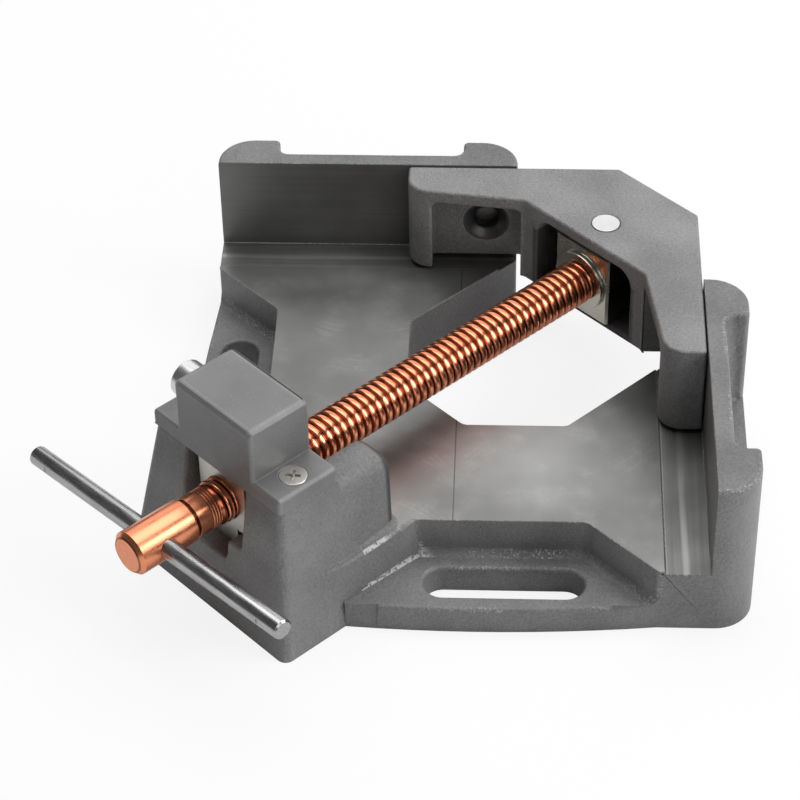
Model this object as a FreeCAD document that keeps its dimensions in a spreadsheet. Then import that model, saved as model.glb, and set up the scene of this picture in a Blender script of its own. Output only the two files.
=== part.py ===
import FreeCAD, Part
import math
import os
import Sketcher
from FreeCAD import Placement, Rotation, Vector

# Corner clamp: a cast base with two fences at right angles, a swivelling V-jaw that a
# screw pushes along the diagonal into the corner, and a pedestal that carries the nut.
# Frame: origin where the planes of the two fence faces meet, at the height of the
# underside; X along the back fence, Y along the side fence, Z up. Millimetres.
# Both fences lie on the negative side: the table is the quarter x < 0, y < 0.
# The diagonal frame, turned 45 degrees about Z, has X pointing into the corner.

doc = FreeCAD.newDocument("corner_clamp")
sheet = doc.addObject("Spreadsheet::Sheet", "sizes")
DIAGONAL_TURN = 45


class Size:
    """A size that knows its value and the expression that works it out from the sheet."""

    def __init__(self, value, text):
        self.value = value
        self.text = text

    def joined(self, other, sign, value):
        return Size(value, "(%s %s %s)" % (self.text, sign, of(other).text))

    def __add__(self, other):
        return self.joined(other, "+", self.value + of(other).value)

    def __sub__(self, other):
        return self.joined(other, "-", self.value - of(other).value)

    def __mul__(self, other):
        return self.joined(other, "*", self.value * of(other).value)

    def __truediv__(self, other):
        return self.joined(other, "/", self.value / of(other).value)

    def __rsub__(self, other):
        return of(other) - self

    def __neg__(self):
        return Size(-self.value, "(-%s)" % self.text)


def of(number):
    return number if isinstance(number, Size) else Size(float(number), repr(number))


ROOT_TWO = Size(math.sqrt(2), "sqrt(2)")
sheet_rows = []


def size(alias, value):
    """Write one driving dimension in the sheet and return it as a Size."""
    sheet_rows.append(alias)
    row = len(sheet_rows)
    sheet.set("A%d" % row, alias.replace("_", " "))
    sheet.set("B%d" % row, str(value))
    sheet.setAlias("B%d" % row, alias)
    return Size(float(value), "sizes." + alias)


# table and fences
table_thickness = size("table_thickness", 25.2)
fence_length = size("fence_length", 110)
fence_start = size("fence_start", 65)
fence_height = size("fence_height", 36)
fence_web_top = size("fence_web_top", 6.5)
fence_web_foot = size("fence_web_foot", 9)
lug_reach = size("lug_reach", 15)
near_lug_length = size("near_lug_length", 20)
far_lug_length = size("far_lug_length", 22)
lug_corner_radius = size("lug_corner_radius", 13)
lug_edge_radius = size("lug_edge_radius", 1.8)
web_end_radius = size("web_end_radius", 4)
ledge_drop = size("ledge_drop", 2)
groove_width = size("groove_width", 15)
groove_depth = size("groove_depth", 0.9)
table_depth = size("table_depth", 151.6)
table_end_width = size("table_end_width", 17)
window_edge = size("window_edge", 102.9)
window_edge_end = size("window_edge_end", 82.5)
window_half_width = size("window_half_width", 39.75)
window_corner_radius = size("window_corner_radius", 4)
table_corner_radius = size("table_corner_radius", 5)

# slotted ears
ear_thickness = size("ear_thickness", 10.2)
ear_width = size("ear_width", 27)
ear_crown_place = size("ear_crown_place", 75)
ear_end_place = size("ear_end_place", 120)
ear_end_width = size("ear_end_width", 25.4)
slot_width = size("slot_width", 13.3)
slot_length = size("slot_length", 53.6)
slot_place = size("slot_place", 67.7)
slot_inset = size("slot_inset", 14)
ear_root_radius = size("ear_root_radius", 3)

# pedestal
pedestal_rise = size("pedestal_rise", 13.85)
pedestal_front_foot = size("pedestal_front_foot", 236.7)
pedestal_front_top = size("pedestal_front_top", 228.6)
pedestal_foot_half = size("pedestal_foot_half", 40.3)
pedestal_side_draft = size("pedestal_side_draft", 8.7)
pedestal_edge_radius = size("pedestal_edge_radius", 3.5)
cheek_back = size("cheek_back", 182.4)
cheek_corner_radius = size("cheek_corner_radius", 3.5)
cheek_top_chamfer = size("cheek_top_chamfer", 1.6)
channel_half = size("channel_half", 14.6)
shelf_draft = size("shelf_draft", 2.1)
shelf_end = size("shelf_end", 172)

# nut, its seat and the cap over it
nut_axis = size("nut_axis", 216.5)
nut_width = size("nut_width", 23)
nut_depth = size("nut_depth", 20)
nut_drop = size("nut_drop", 10.05)
nut_gap = size("nut_gap", 0.3)
trunnion_diameter = size("trunnion_diameter", 14)
trunnion_length = size("trunnion_length", 17.8)
tongue_length = size("tongue_length", 7.5)
tongue_half = size("tongue_half", 6.6)
window_gap = size("window_gap", 1.4)
neck_diameter = size("neck_diameter", 18)
neck_height = size("neck_height", 19)
running_gap = size("running_gap", 0.05)
spindle_gap = size("spindle_gap", 0.1)
cap_depth = size("cap_depth", 25)
cap_flange_thickness = size("cap_flange_thickness", 6)
cap_overhang = size("cap_overhang", 0.2)
cap_block_half = size("cap_block_half", 18.9)
cap_block_height = size("cap_block_height", 20.3)
cap_top_chamfer = size("cap_top_chamfer", 1)

# screws of the cap and the stud in the cheek
cap_screw_inset = size("cap_screw_inset", 7)
screw_diameter = size("screw_diameter", 5)
screw_head_diameter = size("screw_head_diameter", 9.7)
screw_gap = size("screw_gap", 0.2)
screw_length = size("screw_length", 20)
stud_drop = size("stud_drop", 9.3)
stud_place = size("stud_place", 199.5)
stud_shank_diameter = size("stud_shank_diameter", 8)
stud_head_diameter = size("stud_head_diameter", 13.6)
stud_head_length = size("stud_head_length", 20)
stud_shank_length = size("stud_shank_length", 14)

# spindle and its handle
thread_diameter = size("thread_diameter", 15.88)
thread_start = size("thread_start", 232.5)
collar_diameter = size("collar_diameter", 14.4)
head_diameter = size("head_diameter", 15.6)
head_start = size("head_start", 266.5)
head_end = size("head_end", 242.5)
head_chamfer = size("head_chamfer", 1.6)
ring_groove_width = size("ring_groove_width", 1.2)
ring_groove_depth = size("ring_groove_depth", 0.9)
bar_place = size("bar_place", 255)
bar_diameter = size("bar_diameter", 7)
bar_length = size("bar_length", 127.7)
bar_chamfer = size("bar_chamfer", 0.6)
journal_diameter = size("journal_diameter", 12)
journal_groove_depth = size("journal_groove_depth", 1.5)

# jaw
jaw_gap = size("jaw_gap", 0.4)
jaw_height = size("jaw_height", 35.2)
jaw_arm_reach = size("jaw_arm_reach", 104.8)
jaw_arm_thickness = size("jaw_arm_thickness", 20)
jaw_arm_end_thickness = size("jaw_arm_end_thickness", 14.2)
jaw_nose_start = size("jaw_nose_start", 27.8)
jaw_window_half = size("jaw_window_half", 29.75)
jaw_arm_end_radius = size("jaw_arm_end_radius", 8)
fork_web_top = size("fork_web_top", 4.75)
fork_web_foot = size("fork_web_foot", 2.05)
fork_half = size("fork_half", 23)
fork_back = size("fork_back", 33)
fork_corner_radius = size("fork_corner_radius", 6)
arm_pocket_start = size("arm_pocket_start", 63.2)
arm_pocket_end = size("arm_pocket_end", 96)
arm_pocket_wall = size("arm_pocket_wall", 7)
arm_pocket_lip = size("arm_pocket_lip", 5.3)
arm_pocket_radius = size("arm_pocket_radius", 3)
arm_hole_place = size("arm_hole_place", 76.3)
arm_hole_height = size("arm_hole_height", 15.6)
arm_hole_diameter = size("arm_hole_diameter", 8.6)
arm_sink_diameter = size("arm_sink_diameter", 16.2)
arm_sink_angle = size("arm_sink_angle", 110)

# swivel block, its washer and pins
block_front = size("block_front", 59.1)
block_back = size("block_back", 36.5)
block_half = size("block_half", 13)
block_gap = size("block_gap", 0.3)
block_chamfer = size("block_chamfer", 0.8)
pivot_diameter = size("pivot_diameter", 10)
pivot_axis = size("pivot_axis", 47.2)
pivot_depth = size("pivot_depth", 5)
washer_diameter = size("washer_diameter", 22.6)
washer_thickness = size("washer_thickness", 1.6)
shoulder_gap = size("shoulder_gap", 0.1)
washer_gap = size("washer_gap", 0.3)
journal_end = size("journal_end", 40.6)
keeper_diameter = size("keeper_diameter", 3)
keeper_length = size("keeper_length", 23.4)
keeper_skin = size("keeper_skin", 2)
keeper_place = size("keeper_place", 54.6)
thrust_disc_thickness = size("thrust_disc_thickness", 2)

# how far a cut runs past the face it starts from
overrun = size("overrun", 4)

doc.recompute()

# places worked out from the sizes above
fence_end = fence_start + fence_length
fence_top = table_thickness + fence_height
ledge_height = table_thickness - ledge_drop
ear_reach = table_depth + ear_width
ear_end_reach = table_depth + ear_end_width
slot_reach = table_depth + slot_inset
jaw_foot = table_thickness + jaw_gap
jaw_top = jaw_foot + jaw_height
jaw_inner = jaw_gap + jaw_arm_thickness
jaw_arm_end = jaw_gap + jaw_arm_end_thickness
jaw_front = jaw_inner * ROOT_TWO + jaw_window_half
block_foot = jaw_foot + fork_web_foot + block_gap
block_top = jaw_top - fork_web_top - block_gap
axis_height = (block_foot + block_top) / 2
pedestal_height = axis_height + pedestal_rise
pedestal_top_half = pedestal_foot_half - pedestal_side_draft
shelf_half = pedestal_foot_half - shelf_draft
cap_top = pedestal_height + cap_flange_thickness
cap_back = pedestal_front_top - cap_depth
cap_half = pedestal_top_half + cap_overhang
cap_screw_reach = cap_half - cap_screw_inset
stud_height = pedestal_height - stud_drop
nut_foot = axis_height - nut_drop
nut_top = pedestal_height - nut_gap
window_sill = nut_foot - tongue_length - nut_gap
trunnion_seat = nut_foot - trunnion_length
thread_end = block_front + washer_thickness + washer_gap
spindle_bore = thread_diameter / 2 + spindle_gap
journal_bore = journal_diameter / 2 + running_gap
keeper_spread = journal_diameter - journal_groove_depth * 2 + keeper_diameter + spindle_gap * 2
thrust_disc_start = journal_end - shoulder_gap


def checked(feature):
    """Recompute and stop if the feature has failed or its shape is empty or broken."""
    doc.recompute()
    if "Invalid" in feature.State or "Error" in feature.State:
        raise RuntimeError("%s failed: %s" % (feature.Label, feature.State))
    if feature.Shape.isNull() or not feature.Shape.isValid():
        raise RuntimeError("%s has no valid shape" % feature.Label)
    return feature


def new_body(label, turn=0, height=None):
    """A body with its own label, turned about Z and lifted to the height of its frame."""
    body = doc.addObject("PartDesign::Body", label)
    body.Label = label
    body.Placement = Placement(Vector(0, 0, 0), Rotation(Vector(0, 0, 1), turn))
    if height is not None:
        body.setExpression("Placement.Base.z", height.text)
    return body


def new_sketch(body, name, role="XY_Plane", offset=None, turn=0):
    """A sketch on one of the body's own origin planes, moved along the plane's normal."""
    plane = next(item for item in body.Origin.OriginFeatures if item.Role == role)
    sketch = body.newObject("Sketcher::SketchObject", name)
    sketch.AttachmentSupport = [(plane, "")]
    sketch.MapMode = "FlatFace"
    sketch.AttachmentOffset = Placement(Vector(0, 0, 0), Rotation(Vector(0, 0, 1), turn))
    if offset is not None:
        sketch.setExpression("AttachmentOffset.Base.z", of(offset).text)
    return sketch


def fix_point(sketch, geometry, position, x, y):
    """Hold a point of the sketch at x and y, both worked out from the sheet."""
    for kind, distance in (("DistanceX", of(x)), ("DistanceY", of(y))):
        index = sketch.addConstraint(
            Sketcher.Constraint(kind, -1, 1, geometry, position, distance.value)
        )
        sketch.setExpression("Constraints[%d]" % index, distance.text)


def add_outline(sketch, points):
    """A closed outline of straight lines through points worked out from the sheet."""
    corners = [Vector(of(x).value, of(y).value, 0) for x, y in points]
    lines = []
    for index, start in enumerate(corners):
        finish = corners[(index + 1) % len(corners)]
        lines.append(sketch.addGeometry(Part.LineSegment(start, finish), False))
    for index, line in enumerate(lines):
        following = lines[(index + 1) % len(lines)]
        sketch.addConstraint(Sketcher.Constraint("Coincident", line, 2, following, 1))
    for line, (x, y) in zip(lines, points):
        fix_point(sketch, line, 1, x, y)
    return lines


def add_box(sketch, x_low, x_high, y_low, y_high):
    return add_outline(
        sketch, [(x_low, y_low), (x_high, y_low), (x_high, y_high), (x_low, y_high)]
    )


def add_circle(sketch, x, y, radius):
    centre = Vector(of(x).value, of(y).value, 0)
    circle = sketch.addGeometry(
        Part.Circle(centre, Vector(0, 0, 1), of(radius).value), False
    )
    index = sketch.addConstraint(Sketcher.Constraint("Radius", circle, of(radius).value))
    sketch.setExpression("Constraints[%d]" % index, of(radius).text)
    fix_point(sketch, circle, 3, x, y)


def add_slot(sketch, x, y, length, width, upright):
    """A slot with round ends, drawn as two half circles joined by straight sides."""
    reach = (length - width) / 2
    radius = width / 2
    along = (of(0), of(1)) if upright else (of(1), of(0))
    ends = []
    for side in (1, -1):
        centre_x = x + reach * along[0] * side
        centre_y = y + reach * along[1] * side
        facing = math.atan2(along[1].value * side, along[0].value * side)
        arc = Part.ArcOfCircle(
            Part.Circle(Vector(centre_x.value, centre_y.value, 0), Vector(0, 0, 1), radius.value),
            facing - math.pi / 2,
            facing + math.pi / 2,
        )
        ends.append(sketch.addGeometry(arc, False))
        fix_point(sketch, ends[-1], 3, centre_x, centre_y)
    for first, second in (ends, ends[::-1]):
        start = sketch.getPoint(first, 2)
        finish = sketch.getPoint(second, 1)
        line = sketch.addGeometry(Part.LineSegment(start, finish), False)
        sketch.addConstraint(Sketcher.Constraint("Tangent", first, 2, line, 1))
        sketch.addConstraint(Sketcher.Constraint("Tangent", line, 2, second, 1))
    index = sketch.addConstraint(Sketcher.Constraint("Radius", ends[0], radius.value))
    sketch.setExpression("Constraints[%d]" % index, radius.text)


def change_volume(body, feature, sign):
    """The feature must have added (1) or removed (-1) material, or it points away."""
    before = feature.BaseFeature.Shape.Volume if feature.BaseFeature else 0
    checked(feature)
    if (feature.Shape.Volume - before) * sign <= 0:
        raise RuntimeError("%s changed nothing in %s" % (feature.Label, body.Label))
    return feature


def pad(body, sketch, length, flip=False):
    feature = body.newObject("PartDesign::Pad", sketch.Label + "_pad")
    feature.Profile = sketch
    feature.Length = of(length).value
    feature.setExpression("Length", of(length).text)
    feature.Reversed = flip
    feature.Refine = True
    return change_volume(body, feature, 1)


def pocket(body, sketch, length, flip=False):
    feature = body.newObject("PartDesign::Pocket", sketch.Label + "_pocket")
    feature.Profile = sketch
    feature.Length = of(length).value
    feature.setExpression("Length", of(length).text)
    feature.Reversed = flip
    return change_volume(body, feature, -1)


def revolve(body, sketch):
    """Turn a half profile about the sketch's horizontal axis."""
    feature = body.newObject("PartDesign::Revolution", sketch.Label + "_turned")
    feature.Profile = sketch
    feature.ReferenceAxis = (sketch, ["H_Axis"])
    feature.Angle = 360
    return change_volume(body, feature, 1)


def sink(body, sketch, diameter, sink_diameter, sink_angle, flip=False):
    """Countersunk holes right through the body, at the circles of a sketch."""
    feature = body.newObject("PartDesign::Hole", sketch.Label + "_sunk")
    feature.Profile = sketch
    doc.recompute()
    feature.Threaded = False
    feature.Reversed = flip
    feature.DepthType = "ThroughAll"
    feature.HoleCutType = "Countersink"
    feature.HoleCutCustomValues = True
    for cell, value in (
        ("Diameter", diameter),
        ("HoleCutDiameter", sink_diameter),
        ("HoleCutCountersinkAngle", sink_angle),
    ):
        setattr(feature, cell, value.value)
        feature.setExpression(cell, value.text)
    return change_volume(body, feature, -1)


def repeat(body, feature, role, length, count=2):
    """Copies of a feature in a row along one of the body's own axes."""
    axis = next(item for item in body.Origin.OriginFeatures if item.Role == role)
    pattern = body.newObject("PartDesign::LinearPattern", feature.Label + "_row")
    pattern.Originals = [feature]
    pattern.Direction = (axis, [""])
    pattern.Length = length.value
    pattern.setExpression("Length", length.text)
    pattern.Occurrences = count
    body.Tip = pattern
    return checked(pattern)


def edges_where(shape, wanted):
    return ["Edge%d" % (i + 1) for i, edge in enumerate(shape.Edges) if wanted(edge)]


def is_upright(edge):
    ends = [vertex.Point for vertex in edge.Vertexes]
    return len(ends) == 2 and (ends[0] - ends[1]).cross(Vector(0, 0, 1)).Length < 0.01


def is_level_at(edge, height):
    box = edge.BoundBox
    return abs(box.ZMin - of(height).value) < 0.01 and abs(box.ZMax - of(height).value) < 0.01


def near(edge, x, y, reach=0.05):
    middle = edge.valueAt((edge.FirstParameter + edge.LastParameter) / 2)
    return abs(middle.x - of(x).value) < reach and abs(middle.y - of(y).value) < reach


def dress(body, kind, name, radius, wanted):
    """Fillet or chamfer the edges of the body's tip that the test picks out."""
    base = body.Tip
    names = edges_where(base.Shape, wanted)
    if not names:
        raise RuntimeError("no edges for %s" % name)
    feature = body.newObject("PartDesign::" + kind, name)
    feature.Base = (base, names)
    cell = "Radius" if kind == "Fillet" else "Size"
    setattr(feature, cell, of(radius).value)
    feature.setExpression(cell, of(radius).text)
    return checked(feature)


def swapped(mirror, x, y):
    return (y, x) if mirror else (x, y)


def make_table(body):
    """The table, two wings joined under the pedestal and open towards the corner."""
    half = [
        (-window_edge_end, -window_edge),
        (-(window_edge - window_half_width * ROOT_TWO), -window_edge),
        (-(fence_start - window_half_width * ROOT_TWO), -fence_start),
        (of(0), -fence_start),
        (of(0), -fence_end),
        (-table_end_width, -fence_end),
        (-(table_end_width + fence_end - table_depth), -table_depth),
    ]
    outline = half + [(-table_depth, -table_depth)]
    outline += [(y, x) for x, y in reversed(half)]
    sketch = new_sketch(body, "table")
    add_outline(sketch, outline)
    pad(body, sketch, table_thickness)


def make_fences(body):
    """Two fences: a drafted web on a foot, with a thick lug at each end."""
    foot = new_sketch(body, "fence_foot")
    lugs = new_sketch(body, "fence_lugs")
    near_end = -(fence_start + near_lug_length)
    far_start = -(fence_end - far_lug_length)
    add_box(foot, 0, lug_reach, -fence_end, -fence_start)
    add_box(foot, -fence_end, -fence_start, 0, lug_reach)
    for low, high in ((near_end, -fence_start), (-fence_end, far_start)):
        add_box(lugs, 0, lug_reach, low, high)
        add_box(lugs, low, high, 0, lug_reach)
    pad(body, foot, ledge_height)
    pad(body, lugs, fence_top)
    profile = [(0, 0), (fence_web_foot, 0), (fence_web_foot, ledge_height)]
    profile += [(fence_web_top, fence_top), (0, fence_top)]
    back = new_sketch(body, "back_web", role="YZ_Plane", offset=-fence_end)
    add_outline(back, profile)
    pad(body, back, fence_length)
    side = new_sketch(body, "side_web", role="XZ_Plane", offset=fence_start)
    add_outline(side, profile)
    pad(body, side, fence_length)


def make_lug_edges(body):
    """Rounded inner edges of the lugs, and hollow corners where the webs end."""
    lug_ends = (fence_start + near_lug_length, fence_end - far_lug_length)
    web_middle = (fence_web_top + fence_web_foot) / 2

    def at_lug_end(edge, across, reach):
        return any(
            near(edge, across, -end, reach) or near(edge, -end, across, reach)
            for end in lug_ends
        )

    def is_web_end(edge):
        return edge.Length > fence_height.value and at_lug_end(edge, web_middle, 0.6)

    def is_lug_edge(edge):
        return is_upright(edge) and at_lug_end(edge, lug_reach, 0.05)

    dress(body, "Fillet", "web_ends", web_end_radius, is_web_end)
    dress(body, "Fillet", "lug_edges", lug_edge_radius, is_lug_edge)


def make_ears(body):
    """Two slotted ears beside the pedestal, their outer edge slightly crowned."""
    inner_reach = -(table_depth - ear_thickness)
    for mirror, name in ((False, "front_ear"), (True, "left_ear")):
        sketch = new_sketch(body, name)
        start = swapped(mirror, -table_end_width, -fence_end)
        crown = swapped(mirror, -ear_crown_place, -ear_reach)
        finish = swapped(mirror, -ear_end_place, -ear_end_reach)
        inner = swapped(mirror, -table_end_width, inner_reach)
        under = (inner_reach, inner_reach)
        points = [Vector(x.value, y.value, 0) for x, y in (start, crown, finish)]
        arc = sketch.addGeometry(Part.Arc(*points), False)
        first, last = (1, 2) if mirror else (2, 1)
        fix_point(sketch, arc, first, *start)
        fix_point(sketch, arc, last, *finish)
        middle = sketch.addGeometry(Part.Point(points[1]), True)
        fix_point(sketch, middle, 1, *crown)
        sketch.addConstraint(Sketcher.Constraint("PointOnObject", middle, 1, arc))
        chain = [finish, under, inner, start]
        lines = []
        for begin, end in zip(chain, chain[1:]):
            ends = [Vector(x.value, y.value, 0) for x, y in (begin, end)]
            lines.append(sketch.addGeometry(Part.LineSegment(*ends), False))
        joints = [(arc, last, lines[0], 1), (lines[0], 2, lines[1], 1)]
        joints += [(lines[1], 2, lines[2], 1), (lines[2], 2, arc, first)]
        for joint in joints:
            sketch.addConstraint(Sketcher.Constraint("Coincident", *joint))
        fix_point(sketch, lines[1], 1, *under)
        fix_point(sketch, lines[2], 1, *inner)
        pad(body, sketch, ear_thickness)
    slots = new_sketch(body, "ear_slots", offset=ear_thickness)
    add_slot(slots, -slot_place, -slot_reach, slot_length, slot_width, upright=False)
    add_slot(slots, -slot_reach, -slot_place, slot_length, slot_width, upright=True)
    pocket(body, slots, ear_thickness * 2)


def make_pedestal(body):
    """A block across the diagonal, drafted on all sides, two cheeks behind it and a shelf."""
    foot = new_sketch(body, "pedestal_foot", turn=DIAGONAL_TURN)
    top = new_sketch(body, "pedestal_top", offset=pedestal_height, turn=DIAGONAL_TURN)
    draft = pedestal_front_foot - pedestal_front_top
    foot_back = -(cap_back - draft)
    add_box(foot, -pedestal_front_foot, foot_back, -pedestal_foot_half, pedestal_foot_half)
    add_box(top, -pedestal_front_top, -cap_back, -pedestal_top_half, pedestal_top_half)
    loft = body.newObject("PartDesign::AdditiveLoft", "pedestal_block")
    loft.Profile = foot
    loft.Sections = [top]
    loft.Ruled = True
    change_volume(body, loft, 1)
    shelf_foot = new_sketch(body, "shelf_foot", turn=DIAGONAL_TURN)
    shelf_top = new_sketch(body, "shelf_top", offset=table_thickness, turn=DIAGONAL_TURN)
    add_box(shelf_foot, -cap_back, -shelf_end, -pedestal_foot_half, pedestal_foot_half)
    add_box(shelf_top, -cap_back, -shelf_end, -shelf_half, shelf_half)
    shelf = body.newObject("PartDesign::AdditiveLoft", "shelf")
    shelf.Profile = shelf_foot
    shelf.Sections = [shelf_top]
    shelf.Ruled = True
    change_volume(body, shelf, 1)
    cheeks = new_sketch(body, "cheeks", turn=DIAGONAL_TURN)
    add_box(cheeks, -cap_back, -cheek_back, -pedestal_top_half, pedestal_top_half)
    pad(body, cheeks, pedestal_height)


def along_diagonal(edge):
    """Middle of an edge in the diagonal frame: along, across and height."""
    middle = edge.valueAt((edge.FirstParameter + edge.LastParameter) / 2)
    root = ROOT_TWO.value
    return (middle.x + middle.y) / root, (middle.y - middle.x) / root, middle.z


def close(number, wanted, reach=0.05):
    return abs(number - of(wanted).value) < reach


def make_pedestal_edges(body):
    """Rounded front corners, rounded cheek ends and softened cheek tops."""

    def is_front_corner(edge):
        along, across, height = along_diagonal(edge)
        middle_along = -(pedestal_front_foot + pedestal_front_top) / 2
        return close(along, middle_along, 2) and close(height, pedestal_height / 2, 3)

    def is_cheek_end(edge):
        along, across, height = along_diagonal(edge)
        return is_upright(edge) and close(along, -cheek_back) and height > table_thickness.value

    def is_cheek_top(edge):
        along, across, height = along_diagonal(edge)
        return close(height, pedestal_height) and along > -cap_back.value + 1

    dress(body, "Fillet", "pedestal_corners", pedestal_edge_radius, is_front_corner)
    dress(body, "Fillet", "cheek_ends", cheek_corner_radius, is_cheek_end)
    dress(body, "Chamfer", "cheek_tops", cheek_top_chamfer, is_cheek_top)


def make_nut_seat(body):
    """A channel for the spindle, a sill for the nut and a bore for its lower trunnion."""
    channel = new_sketch(body, "channel", offset=pedestal_height, turn=DIAGONAL_TURN)
    channel_front = -(pedestal_front_foot + overrun)
    add_box(channel, channel_front, -(cheek_back - overrun), -channel_half, channel_half)
    pocket(body, channel, pedestal_height - nut_foot + nut_gap)
    window = new_sketch(body, "window", offset=nut_foot, turn=DIAGONAL_TURN)
    half = tongue_half + window_gap
    add_box(window, channel_front, -nut_axis, -half, half)
    pocket(body, window, nut_foot - window_sill)
    heart = new_sketch(body, "seat", offset=nut_foot, turn=DIAGONAL_TURN)
    add_circle(heart, -nut_axis, 0, half)
    pocket(body, heart, nut_foot - window_sill)
    bore = new_sketch(body, "trunnion_bore", offset=nut_foot, turn=DIAGONAL_TURN)
    add_circle(bore, -nut_axis, 0, trunnion_diameter / 2 + running_gap)
    pocket(body, bore, nut_foot - trunnion_seat + nut_gap)


def make_base_holes(body):
    """Tapped holes for the cap screws and for the stud in the left cheek."""
    holes = new_sketch(body, "cap_screw_holes", offset=pedestal_height, turn=DIAGONAL_TURN)
    for side in (1, -1):
        add_circle(holes, -nut_axis, cap_screw_reach * side, screw_diameter / 2)
    pocket(body, holes, screw_length)
    stud = new_sketch(body, "cheek_screw_hole", role="XZ_Plane")
    upright_turn = Rotation(Vector(0, 1, 0), DIAGONAL_TURN)
    stud.AttachmentOffset = Placement(Vector(0, 0, 0), upright_turn)
    for cell in ("x", "z"):
        face = -pedestal_top_half / ROOT_TWO
        stud.setExpression("AttachmentOffset.Base." + cell, face.text)
    add_circle(stud, -stud_place, stud_height, stud_shank_diameter / 2)
    pocket(body, stud, stud_shank_length, flip=True)


def make_ear_roots(body):
    """Hollow corners where the walls of the table stand on the ears."""

    def is_ear_root(edge):
        middle = edge.valueAt((edge.FirstParameter + edge.LastParameter) / 2)
        on_wall = any(close(place, -table_depth) for place in (middle.x, middle.y))
        return is_level_at(edge, ear_thickness) and on_wall

    dress(body, "Fillet", "ear_roots", ear_root_radius, is_ear_root)


def make_base():
    body = new_body("base_casting")
    make_table(body)
    make_fences(body)
    lug_corners = [(lug_reach, -fence_start), (lug_reach, -fence_end)]
    lug_corners += [(y, x) for x, y in lug_corners]

    def is_lug_corner(edge):
        return is_upright(edge) and any(near(edge, x, y) for x, y in lug_corners)

    dress(body, "Fillet", "lug_corners", lug_corner_radius, is_lug_corner)
    make_lug_edges(body)
    window_corners = [
        (-window_edge_end, -window_edge),
        (-(window_edge - window_half_width * ROOT_TWO), -window_edge),
    ]
    window_corners += [(y, x) for x, y in window_corners]

    def is_window_corner(edge):
        return is_upright(edge) and any(near(edge, x, y) for x, y in window_corners)

    dress(body, "Fillet", "window_corners", window_corner_radius, is_window_corner)
    table_corner = (-(table_end_width + fence_end - table_depth), -table_depth)

    def is_table_corner(edge):
        return is_upright(edge) and (near(edge, *table_corner) or near(edge, *table_corner[::-1]))

    dress(body, "Fillet", "table_corners", table_corner_radius, is_table_corner)
    make_pedestal(body)
    make_pedestal_edges(body)
    make_ears(body)
    groove = new_sketch(body, "grooves", offset=table_thickness)
    add_box(groove, -groove_width, 0, -fence_end, -fence_start)
    add_box(groove, -fence_end, -fence_start, -groove_width, 0)
    pocket(body, groove, groove_depth)
    make_nut_seat(body)
    make_base_holes(body)
    make_ear_roots(body)
    return body


def make_cap():
    """The cap over the nut: a flange with two screw seats and a block bored from below."""
    body = new_body("nut_cap", DIAGONAL_TURN, pedestal_height)
    front = -pedestal_front_top
    flange = new_sketch(body, "cap_flange")
    add_box(flange, front, front + cap_depth, -cap_half, cap_half)
    pad(body, flange, cap_flange_thickness)
    block = new_sketch(body, "cap_block")
    add_box(block, front, front + cap_depth, -cap_block_half, cap_block_half)
    pad(body, block, cap_flange_thickness + cap_block_height)
    block_top = cap_flange_thickness + cap_block_height

    def is_block_top(edge):
        return is_level_at(edge, block_top)

    dress(body, "Chamfer", "cap_top", cap_top_chamfer, is_block_top)
    neck = new_sketch(body, "neck_bore")
    add_circle(neck, -nut_axis, 0, neck_diameter / 2 + running_gap)
    pocket(body, neck, neck_height + nut_gap, flip=True)
    seats = new_sketch(body, "screw_seats", offset=cap_flange_thickness)
    for side in (1, -1):
        add_circle(seats, -nut_axis, cap_screw_reach * side, screw_diameter / 2)
    sink(body, seats, screw_diameter + screw_gap, screw_head_diameter + screw_gap, of(90))
    return body


def on_diagonal(along, across):
    """X and Y of a point given along and across the diagonal."""
    return (along - across) / ROOT_TWO, (along + across) / ROOT_TWO


HALF_ROOT = math.sqrt(0.5)
BAR_TILT = math.radians(4.3)
INTO_CORNER = Vector(HALF_ROOT, HALF_ROOT, 0)
ACROSS = Vector(-HALF_ROOT, HALF_ROOT, 0)
UP = Vector(0, 0, 1)
ALONG_BAR = ACROSS * math.cos(BAR_TILT) - UP * math.sin(BAR_TILT)
DIRECTIONS = {
    "into_corner": (INTO_CORNER, ALONG_BAR),
    "along_bar": (ALONG_BAR, -INTO_CORNER),
    "across": (ACROSS, -INTO_CORNER),
    "down": (-UP, ACROSS),
    "up": (UP, ACROSS),
}


def turned_body(label, profile, direction, along, across, height):
    """A piece turned about its own X axis, which is then laid along a direction."""
    body = new_body(label)
    body.AllowCompound = True
    first, second = DIRECTIONS[direction]
    rotation = Rotation(first, second, first.cross(second), "XYZ")
    body.Placement = Placement(Vector(0, 0, 0), rotation)
    x, y = on_diagonal(of(along), of(across))
    for cell, place in (("x", x), ("y", y), ("z", of(height))):
        body.setExpression("Placement.Base." + cell, place.text)
    sketch = new_sketch(body, label + "_profile")
    add_outline(sketch, profile)
    revolve(body, sketch)
    return body


def make_cap_screws():
    """Two countersunk screws, 90 degree heads flush with the flange of the cap."""
    head = screw_head_diameter / 2
    shank = screw_diameter / 2
    profile = [(0, 0), (screw_length, 0), (screw_length, shank), (head - shank, shank), (0, head)]
    body = turned_body("cap_screws", profile, "down", -nut_axis, -cap_screw_reach, cap_top)
    repeat(body, body.Tip, "Y_Axis", cap_screw_reach * 2)
    return body


def make_cheek_screw():
    """A screw with a long plain head that stands out of the left cheek."""
    head = stud_head_diameter / 2
    shank = stud_shank_diameter / 2
    profile = [
        (-stud_shank_length, 0),
        (stud_head_length, 0),
        (stud_head_length, head),
        (0, head),
        (0, shank),
        (-stud_shank_length, shank),
    ]
    return turned_body(
        "cheek_screw", profile, "across", -stud_place, pedestal_top_half, stud_height
    )


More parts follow.
